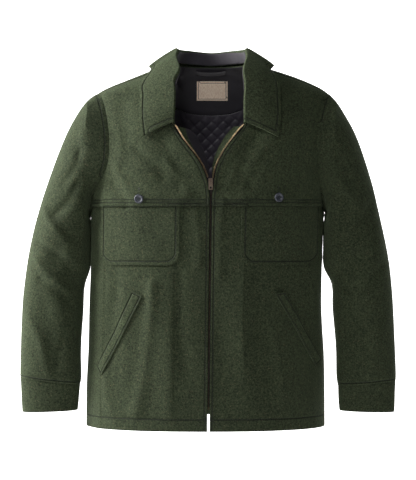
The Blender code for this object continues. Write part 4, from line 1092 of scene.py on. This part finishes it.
# Buttons
@dataclass
class Button:
    """A four-hole button with a raised rim, its thread and the buttonhole above it."""

    side: Side
    radius: float = 0.0094
    hole_ring: float = 0.0019
    hole: float = 0.00095
    profile: tuple[tuple[float, float], ...] = (
        (0.0, 0.0018), (0.0034, 0.0018), (0.0048, 0.0020), (0.0058, 0.0027), (0.0067, 0.0033),
        (0.0077, 0.0035), (0.0087, 0.0031), (0.0093, 0.0022), (0.0092, 0.0012), (0.0080, 0.0003), (0.0, 0.0),
    )

    def build(self, yoke: BVHTree) -> list[bpy.types.Object]:
        """Makes the button in its node's place."""
        name = "button_" + self.side.value
        low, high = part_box(name)
        centre = (low + high) / 2
        seat, normal, _, _ = yoke.ray_cast(centre - Vector((0, 0.05, 0)), Vector((0, 1, 0)))
        body = bmesh.new()
        points = [body.verts.new((r, 0, h)) for r, h in self.profile]
        edges = [body.edges.new(pair) for pair in zip(points, points[1:])]
        bmesh.ops.spin(
            body, geom=points + edges, cent=(0, 0, 0), axis=(0, 0, 1), angle=math.tau, steps=48,
            use_merge=True, use_duplicate=False,
        )
        bmesh.ops.remove_doubles(body, verts=body.verts, dist=MERGE)
        bmesh.ops.recalc_face_normals(body, faces=body.faces)
        shape = shaped(name + "_shape", body)
        drills = bmesh.new()
        for spot in self.spots():
            matrix = Matrix.Translation((*spot, 0.002))
            bmesh.ops.create_cone(
                drills, cap_ends=True, segments=20, radius1=self.hole, radius2=self.hole, depth=0.01,
                matrix=matrix,
            )
        drill = shaped("drills", drills)
        step = shape.modifiers.new("holes", "BOOLEAN")
        step.object, step.operation, step.solver = drill, "DIFFERENCE", "EXACT"
        pierced = applied(shape)
        bpy.data.objects.remove(shape)
        bpy.data.objects.remove(drill)
        place = self.placing(seat, normal)
        pierced.transform(place)
        pierced.materials.clear()
        pierced.materials.append(material_of(BUTTON))
        pierced.shade_smooth()
        pierced.set_sharp_from_angle(angle=SMOOTH_ANGLE)
        item = temporary(name + "_resin", pierced)
        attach(item, GARMENT)
        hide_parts(name)
        return [item, self.thread(place)]

    def spots(self) -> list[tuple[float, float]]:
        """The four holes' places."""
        r = self.hole_ring
        return [(r, r), (-r, r), (-r, -r), (r, -r)]

    def placing(self, seat: Vector, normal: Vector) -> Matrix:
        """The move from the button's own axes onto the yoke."""
        up = (Vector((0, 0, 1)) - normal * normal.z).normalized()
        across = up.cross(normal).normalized()
        turn = Matrix((across, up, normal)).transposed().to_4x4()
        return Matrix.Translation(seat + normal * 0.0004) @ turn

    def thread(self, place: Matrix) -> bpy.types.Object:
        """Two bars of thread through the holes."""
        bars = bmesh.new()
        spots = self.spots()
        for a, b in ((spots[0], spots[3]), (spots[1], spots[2])):
            for shift in (-0.0003, 0.0003):
                middle = Vector(((a[0] + b[0]) / 2 + shift, (a[1] + b[1]) / 2, 0.0019))
                size = Matrix.Diagonal((0.00032, self.hole_ring + 0.0005, 0.0004, 1))
                matrix = Matrix.Translation(middle) @ size
                bmesh.ops.create_icosphere(bars, subdivisions=2, radius=1, matrix=matrix)
        bmesh.ops.transform(bars, matrix=place, verts=bars.verts)
        for face in bars.faces:
            face.smooth = True
        return small_piece("button_thread_" + self.side.value, bars, SEAM_THREAD)


@dataclass
class Buttonhole:
    """A worked slit: close stitches round a narrow oval on the yoke."""

    side: Side
    rise: float = 0.0135
    length: float = 0.019
    width: float = 0.0032
    stitches: int = 44
    stitch: tuple[float, float] = (0.0022, 0.0007)

    def work(self, sewing: Sewing, yoke: BVHTree) -> None:
        """Adds the stitches round the slit."""
        low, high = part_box("button_" + self.side.value)
        centre = (low + high) / 2 + Vector((0, 0, self.rise))
        for i in range(self.stitches):
            turn = math.tau * i / self.stitches
            across, up = self.width / 2 * math.cos(turn), self.length / 2 * math.sin(turn)
            spot = centre + Vector((across, 0, up))
            seat, normal, _, _ = yoke.ray_cast(spot - Vector((0, 0.05, 0)), Vector((0, 1, 0)))
            if seat is None:
                continue
            way = Vector((math.cos(turn), 0, math.sin(turn) * 0.4)).normalized()
            sewing.stitch(seat, way, normal, *self.stitch)


# Studio
@dataclass(frozen=True)
class Lamp:
    """A soft rectangular light."""

    name: str
    place: tuple[float, float, float]
    target: tuple[float, float, float]
    size: float
    power: float
    colour: Colour = (1.0, 1.0, 1.0)

    def build(self) -> None:
        """Adds the light."""
        data = bpy.data.lights.new(self.name, "AREA")
        data.size = self.size
        data.energy = self.power
        data.color = self.colour
        item = bpy.data.objects.new(self.name, data)
        item.location = self.place
        way = Vector(self.target) - Vector(self.place)
        item.rotation_euler = way.to_track_quat("-Z", "Y").to_euler()
        bpy.context.scene.collection.objects.link(item)


@dataclass
class Studio:
    """Pale floor and backdrop, soft light and the camera at the photograph's angle."""

    camera_place: tuple[float, float, float] = (-0.004, -3.06, -0.365)
    lens: float = 109.8
    floor_level: float = -1.25
    wall_distance: float = 4.4
    wall_height: float = 5.0
    reach: float = 6.0
    bend: float = 0.9
    bend_steps: int = 16
    glow: float = 1.1
    glow_start: tuple[float, float] = (0.7, 1.2)
    ambient: float = 0.06
    lamps: tuple[Lamp, ...] = (
        Lamp("key", (-2.75, -0.2, 0.8), (-0.1, 0, -0.35), 1.3, 270, (1.0, 0.99, 0.96)),
        Lamp("front", (-0.6, -2.7, 2.0), (0, 0, -0.35), 1.0, 40),
    )

    def build(self) -> None:
        """Adds floor, lights, world and camera."""
        self._floor()
        for lamp in self.lamps:
            lamp.build()
        self._world()
        self._camera()

    def _floor(self) -> None:
        """A sheet that runs from the floor up into a backdrop, which glows behind the coat."""
        sweep = bmesh.new()
        bend, steps = self.bend, self.bend_steps
        start = self.wall_distance - bend
        profile = [(-self.reach, 0.0), (start, 0.0)]
        for i in range(1, steps + 1):
            turn = math.pi / 2 * i / steps
            profile.append((start + bend * math.sin(turn), bend - bend * math.cos(turn)))
        profile.append((self.wall_distance, self.wall_height))
        line = [sweep.verts.new((-self.reach, y, self.floor_level + z)) for y, z in profile]
        edges = [sweep.edges.new(pair) for pair in zip(line, line[1:])]
        grown = bmesh.ops.extrude_edge_only(sweep, edges=edges)
        moved = [v for v in grown["geom"] if isinstance(v, bmesh.types.BMVert)]
        bmesh.ops.translate(sweep, verts=moved, vec=(2 * self.reach, 0, 0))
        bmesh.ops.recalc_face_normals(sweep, faces=sweep.faces)
        item = shaped("floor", sweep)
        item.data.shade_smooth()
        graph = Graph("floor")
        colour = graph.mix(graph.noise(3, 2), (0.90, 0.90, 0.90), (0.93, 0.93, 0.93))
        item.data.materials.append(graph.finish(colour, None, roughness=0.9, gloss=0.1))
        split = graph.add("ShaderNodeSeparateXYZ")
        graph.link(graph.coordinates, split.inputs[0])
        glow = graph.maths("MULTIPLY", graph.ramp(split.outputs["Y"], *self.glow_start), self.glow)
        graph.link(glow, graph.shader.inputs["Emission Strength"])
        graph.shader.inputs["Emission Color"].default_value = (1, 1, 1, 1)
        item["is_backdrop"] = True

    def _world(self) -> None:
        """White light from all round."""
        world = bpy.data.worlds.new("studio")
        world.use_nodes = True
        background = world.node_tree.nodes["Background"]
        background.inputs["Color"].default_value = (1.0, 1.0, 1.0, 1)
        background.inputs["Strength"].default_value = self.ambient
        bpy.context.scene.world = world
        bpy.context.scene.view_settings.view_transform = "Standard"

    def _camera(self) -> None:
        """The camera looks along +Y, level with the coat's middle."""
        data = bpy.data.cameras.new("camera")
        data.lens = self.lens
        data.sensor_width = 36
        item = bpy.data.objects.new("camera", data)
        item.location = self.camera_place
        item.rotation_euler = (math.radians(90), 0, 0)
        bpy.context.scene.collection.objects.link(item)
        bpy.context.scene.camera = item


# Tests that pick rims: each takes the middle of a rim edge in millimetres and the normal beside it
FRONTWARD = -0.2
SLOT_REACH = 78
SLOT_LEVELS = (-748, -134)
HEM_LEVEL = -738
YOKE_LEVEL = -292
POCKET_LEVEL = -300
SHOULDER_LEVEL = -62
SHOULDER_REACH = (78, 218)
COLLAR_MIDDLE = 2
COLLAR_REACH = 92
COLLAR_END = (80, -125)
COLLAR_BACK = 60
COLLAR_TURN = 20


def on_front(middle: Vector, normal: Vector) -> bool:
    """Picks outer rims on the front of the coat."""
    return normal.y < FRONTWARD


def slot_edge(middle: Vector, normal: Vector) -> bool:
    """Picks a front's edge along the zip and the open neck."""
    low, high = SLOT_LEVELS
    return on_front(middle, normal) and abs(middle.x) < SLOT_REACH and low < middle.z < high


def hem_edge(middle: Vector, normal: Vector) -> bool:
    """Picks the hem's outer rim."""
    outward = abs(normal.y) > -FRONTWARD and (normal.y < 0) == (middle.y < 0)
    return outward and middle.z < HEM_LEVEL


def yoke_edge(middle: Vector, normal: Vector) -> bool:
    """Picks a yoke's free lower rim."""
    return on_front(middle, normal) and middle.z < YOKE_LEVEL


def shoulder_edge(middle: Vector, normal: Vector) -> bool:
    """Picks a yoke's outer rim along the shoulder."""
    near, far = SHOULDER_REACH
    return normal.z > 0.5 and middle.z > SHOULDER_LEVEL and near < abs(middle.x) < far


def pocket_edge(middle: Vector, normal: Vector) -> bool:
    """Picks a pocket's sides and bottom."""
    return on_front(middle, normal) and middle.z < POCKET_LEVEL


def collar_edge(middle: Vector, normal: Vector) -> bool:
    """Picks the rim of the collar's fall and its ends, on its upper side."""
    end_reach, end_level = COLLAR_END
    side = abs(middle.x - COLLAR_MIDDLE) > COLLAR_REACH
    back = middle.y > COLLAR_BACK and middle.z < 0
    end = middle.z < end_level and abs(middle.x) > end_reach
    outward = normal.y * (1 if middle.y > COLLAR_TURN else -1)
    return (side or back or end) and (outward > 0.05 or normal.z > 0.5)


def any_edge(middle: Vector, normal: Vector) -> bool:
    """Picks every rim."""
    return True


def sleeve_end(region: Region, low: float, high: float) -> RimTest:
    """Makes a test for a sleeve's outer rims between two levels."""
    axis = np.array(REGION_AXES[region])

    def wanted(middle: Vector, normal: Vector) -> bool:
        """Picks outer rims between the levels."""
        cx, cy = (float(np.interp(middle.z, axis[:, 0], axis[:, i])) for i in (1, 2))
        return low < middle.z < high and (middle.x - cx) * normal.x + (middle.y - cy) * normal.y > 0

    return wanted


# Seams that pieces share
FRONT_SEAMS = (Seam(5.0, slot_edge), Seam(24.0, hem_edge))
POCKET_SEAMS = (Seam(8.0, pocket_edge),)
# The unsewn seam 0.4 mm in from the yoke's lower rim is a painted shadow line where the yoke lies over the
# front.
YOKE_SEAMS = (
    Seam(5.0, slot_edge), Seam(9.0, yoke_edge, True, 2.6), Seam(14.6, yoke_edge, True, 2.6),
    Seam(0.4, yoke_edge, False), Seam(9.0, shoulder_edge, False, 0.7),
)


class Coat:
    """The dressed coat: cloth, sewing, zip and buttons."""

    def __init__(self) -> None:
        """Lists the pieces of cloth with their finishes, cuts and seams."""
        body, left, right = Region.BODY, Region.SLEEVE_LEFT, Region.SLEEVE_RIGHT
        self.cloth: list[ClothPiece] = [
            ClothPiece("front_left", SHELL, body, Cut(0.30, 0.76, 0.194), seams=FRONT_SEAMS),
            ClothPiece("front_right", SHELL, body, Cut(0.30, 0.76, 0.191), seams=FRONT_SEAMS),
            ClothPiece("back", SHELL, body, Cut(0.60, 0.77, 0.437), seams=(Seam(24.0, hem_edge),)),
            ClothPiece("yoke_left", YOKE, body, Cut(0.25, 0.30, 0.057), seams=YOKE_SEAMS),
            ClothPiece("yoke_right", YOKE, body, Cut(0.25, 0.30, 0.060), seams=YOKE_SEAMS),
            ClothPiece("pocket_left", SHELL, body, Cut(0.172, 0.150, 0.0247), seams=POCKET_SEAMS),
            ClothPiece("pocket_right", SHELL, body, Cut(0.178, 0.150, 0.0258), seams=POCKET_SEAMS),
            ClothPiece("sleeve_left", SHELL, left, Cut(0.45, 0.60, 0.198), seams=(
                Seam(8.5, sleeve_end(left, -330, 0)), Seam(6.0, sleeve_end(left, -700, -630)))),
            ClothPiece("sleeve_right", SHELL, right, Cut(0.45, 0.60, 0.198), seams=(
                Seam(8.5, sleeve_end(right, -330, 0)), Seam(6.0, sleeve_end(right, -700, -630)))),
            ClothPiece("cuff_left", SHELL, left, Cut(0.30, 0.062, 0.0184), levels=2),
            ClothPiece("cuff_right", SHELL, right, Cut(0.29, 0.060, 0.0169), levels=2),
            ClothPiece("collar", TRIM, body, Cut(0.60, 0.14, 0.0713), seams=(Seam(8.0, collar_edge),)),
            ClothPiece("collar_lining", STAND_LINING, body, Cut(0.42, 0.03, 0.0112), levels=2, rim=0.0),
            ClothPiece("yoke_lining", PLAIN_LINING, body, Cut(0.19, 0.115, 0.019), levels=2, rim=0.0003),
            QuiltedPiece("back_lining", QUILTED, body, Cut(0.42, 0.65, 0.243), rim=0.0),
            ClothPiece("front_lining_left", PLAIN_LINING, body, Cut(0.04, 0.12, 0.00243), rim=0.0003),
            ClothPiece("facing_left", TRIM, body, Cut(0.04, 0.14, 0.0022), rim=0.0005),
            ClothPiece("facing_right", TRIM, body, Cut(0.045, 0.14, 0.0031), rim=0.0005),
            ClothPiece("zip_tape_left", TAPE, body, Cut(0.0105, 0.60, 0.0057), levels=2, rim=0.0),
            ClothPiece("zip_tape_right", TAPE, body, Cut(0.0105, 0.60, 0.0057), levels=2, rim=0.0),
            ClothPiece("welt_left", TRIM, body, Cut(0.026, 0.18, 0.00455), seams=(Seam(3.0, on_front),)),
            ClothPiece("welt_right", TRIM, body, Cut(0.024, 0.18, 0.0041), seams=(Seam(3.0, on_front),)),
            ClothPiece("neck_label", LABEL, body, Cut(0.068, 0.0425, 0.00288), rim=0.0,
                       seams=(Seam(3.7, any_edge, False),)),
            ClothPiece("hanger_loop", LOOP_SATIN, body, Cut(0.014, 0.07, 0.00059), levels=2, rim=0.0),
        ]

    def build(self) -> None:
        """Makes all the pieces."""
        for piece in self.cloth:
            piece.build()
        self.sew()
        self.dress_metal()
        for piece in self.cloth:
            piece.declare()

    def sew(self) -> None:
        """Adds stitches, teeth, buttons and buttonholes."""
        seams = Sewing(SEAM_THREAD, "seam_stitches")
        quilting = Sewing(QUILT_THREAD, "quilt_stitches")
        trees = {piece.node: tree_of(piece.item) for piece in self.cloth if piece.seams}
        for piece in self.cloth:
            for seam in piece.seams:
                if seam.sewn:
                    seams.row(piece, seam, trees[piece.node])
        for piece in self.cloth:
            if isinstance(piece, QuiltedPiece):
                tree = tree_of(piece.item)
                for line in piece.stitch_lines(tree):
                    quilting.path(line, False, tree)
        quilting.build()
        for side in Side:
            yoke = trees["yoke_" + side.value]
            Button(side).build(yoke)
            Buttonhole(side).work(seams, yoke)
            ZipTeeth(side).build()
        seams.build()

    def dress_metal(self) -> None:
        """Gives the slider and pull tab their finish."""
        for name in ("zip_slider", "zip_pull"):
            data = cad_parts[name].data
            data.materials.clear()
            data.materials.append(material_of(SLIDER_METAL))


def write_sizes() -> None:
    """Gathers the frame's box and the dressed coat's box into a dict, which is not kept."""
    def plain(bounds: object) -> list:
        """The bounds as plain lists."""
        return json.loads(json.dumps(bounds, default=list))

    {"cad": plain(CAD_BOUNDS), "visual": plain(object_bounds())}


def main() -> None:
    """Dresses the frame and sets up the studio."""
    logging.basicConfig(level=logging.INFO, format="%(name)s %(message)s")
    Coat().build()
    Studio().build()
    write_sizes()


if __name__ == "__main__":
    main()
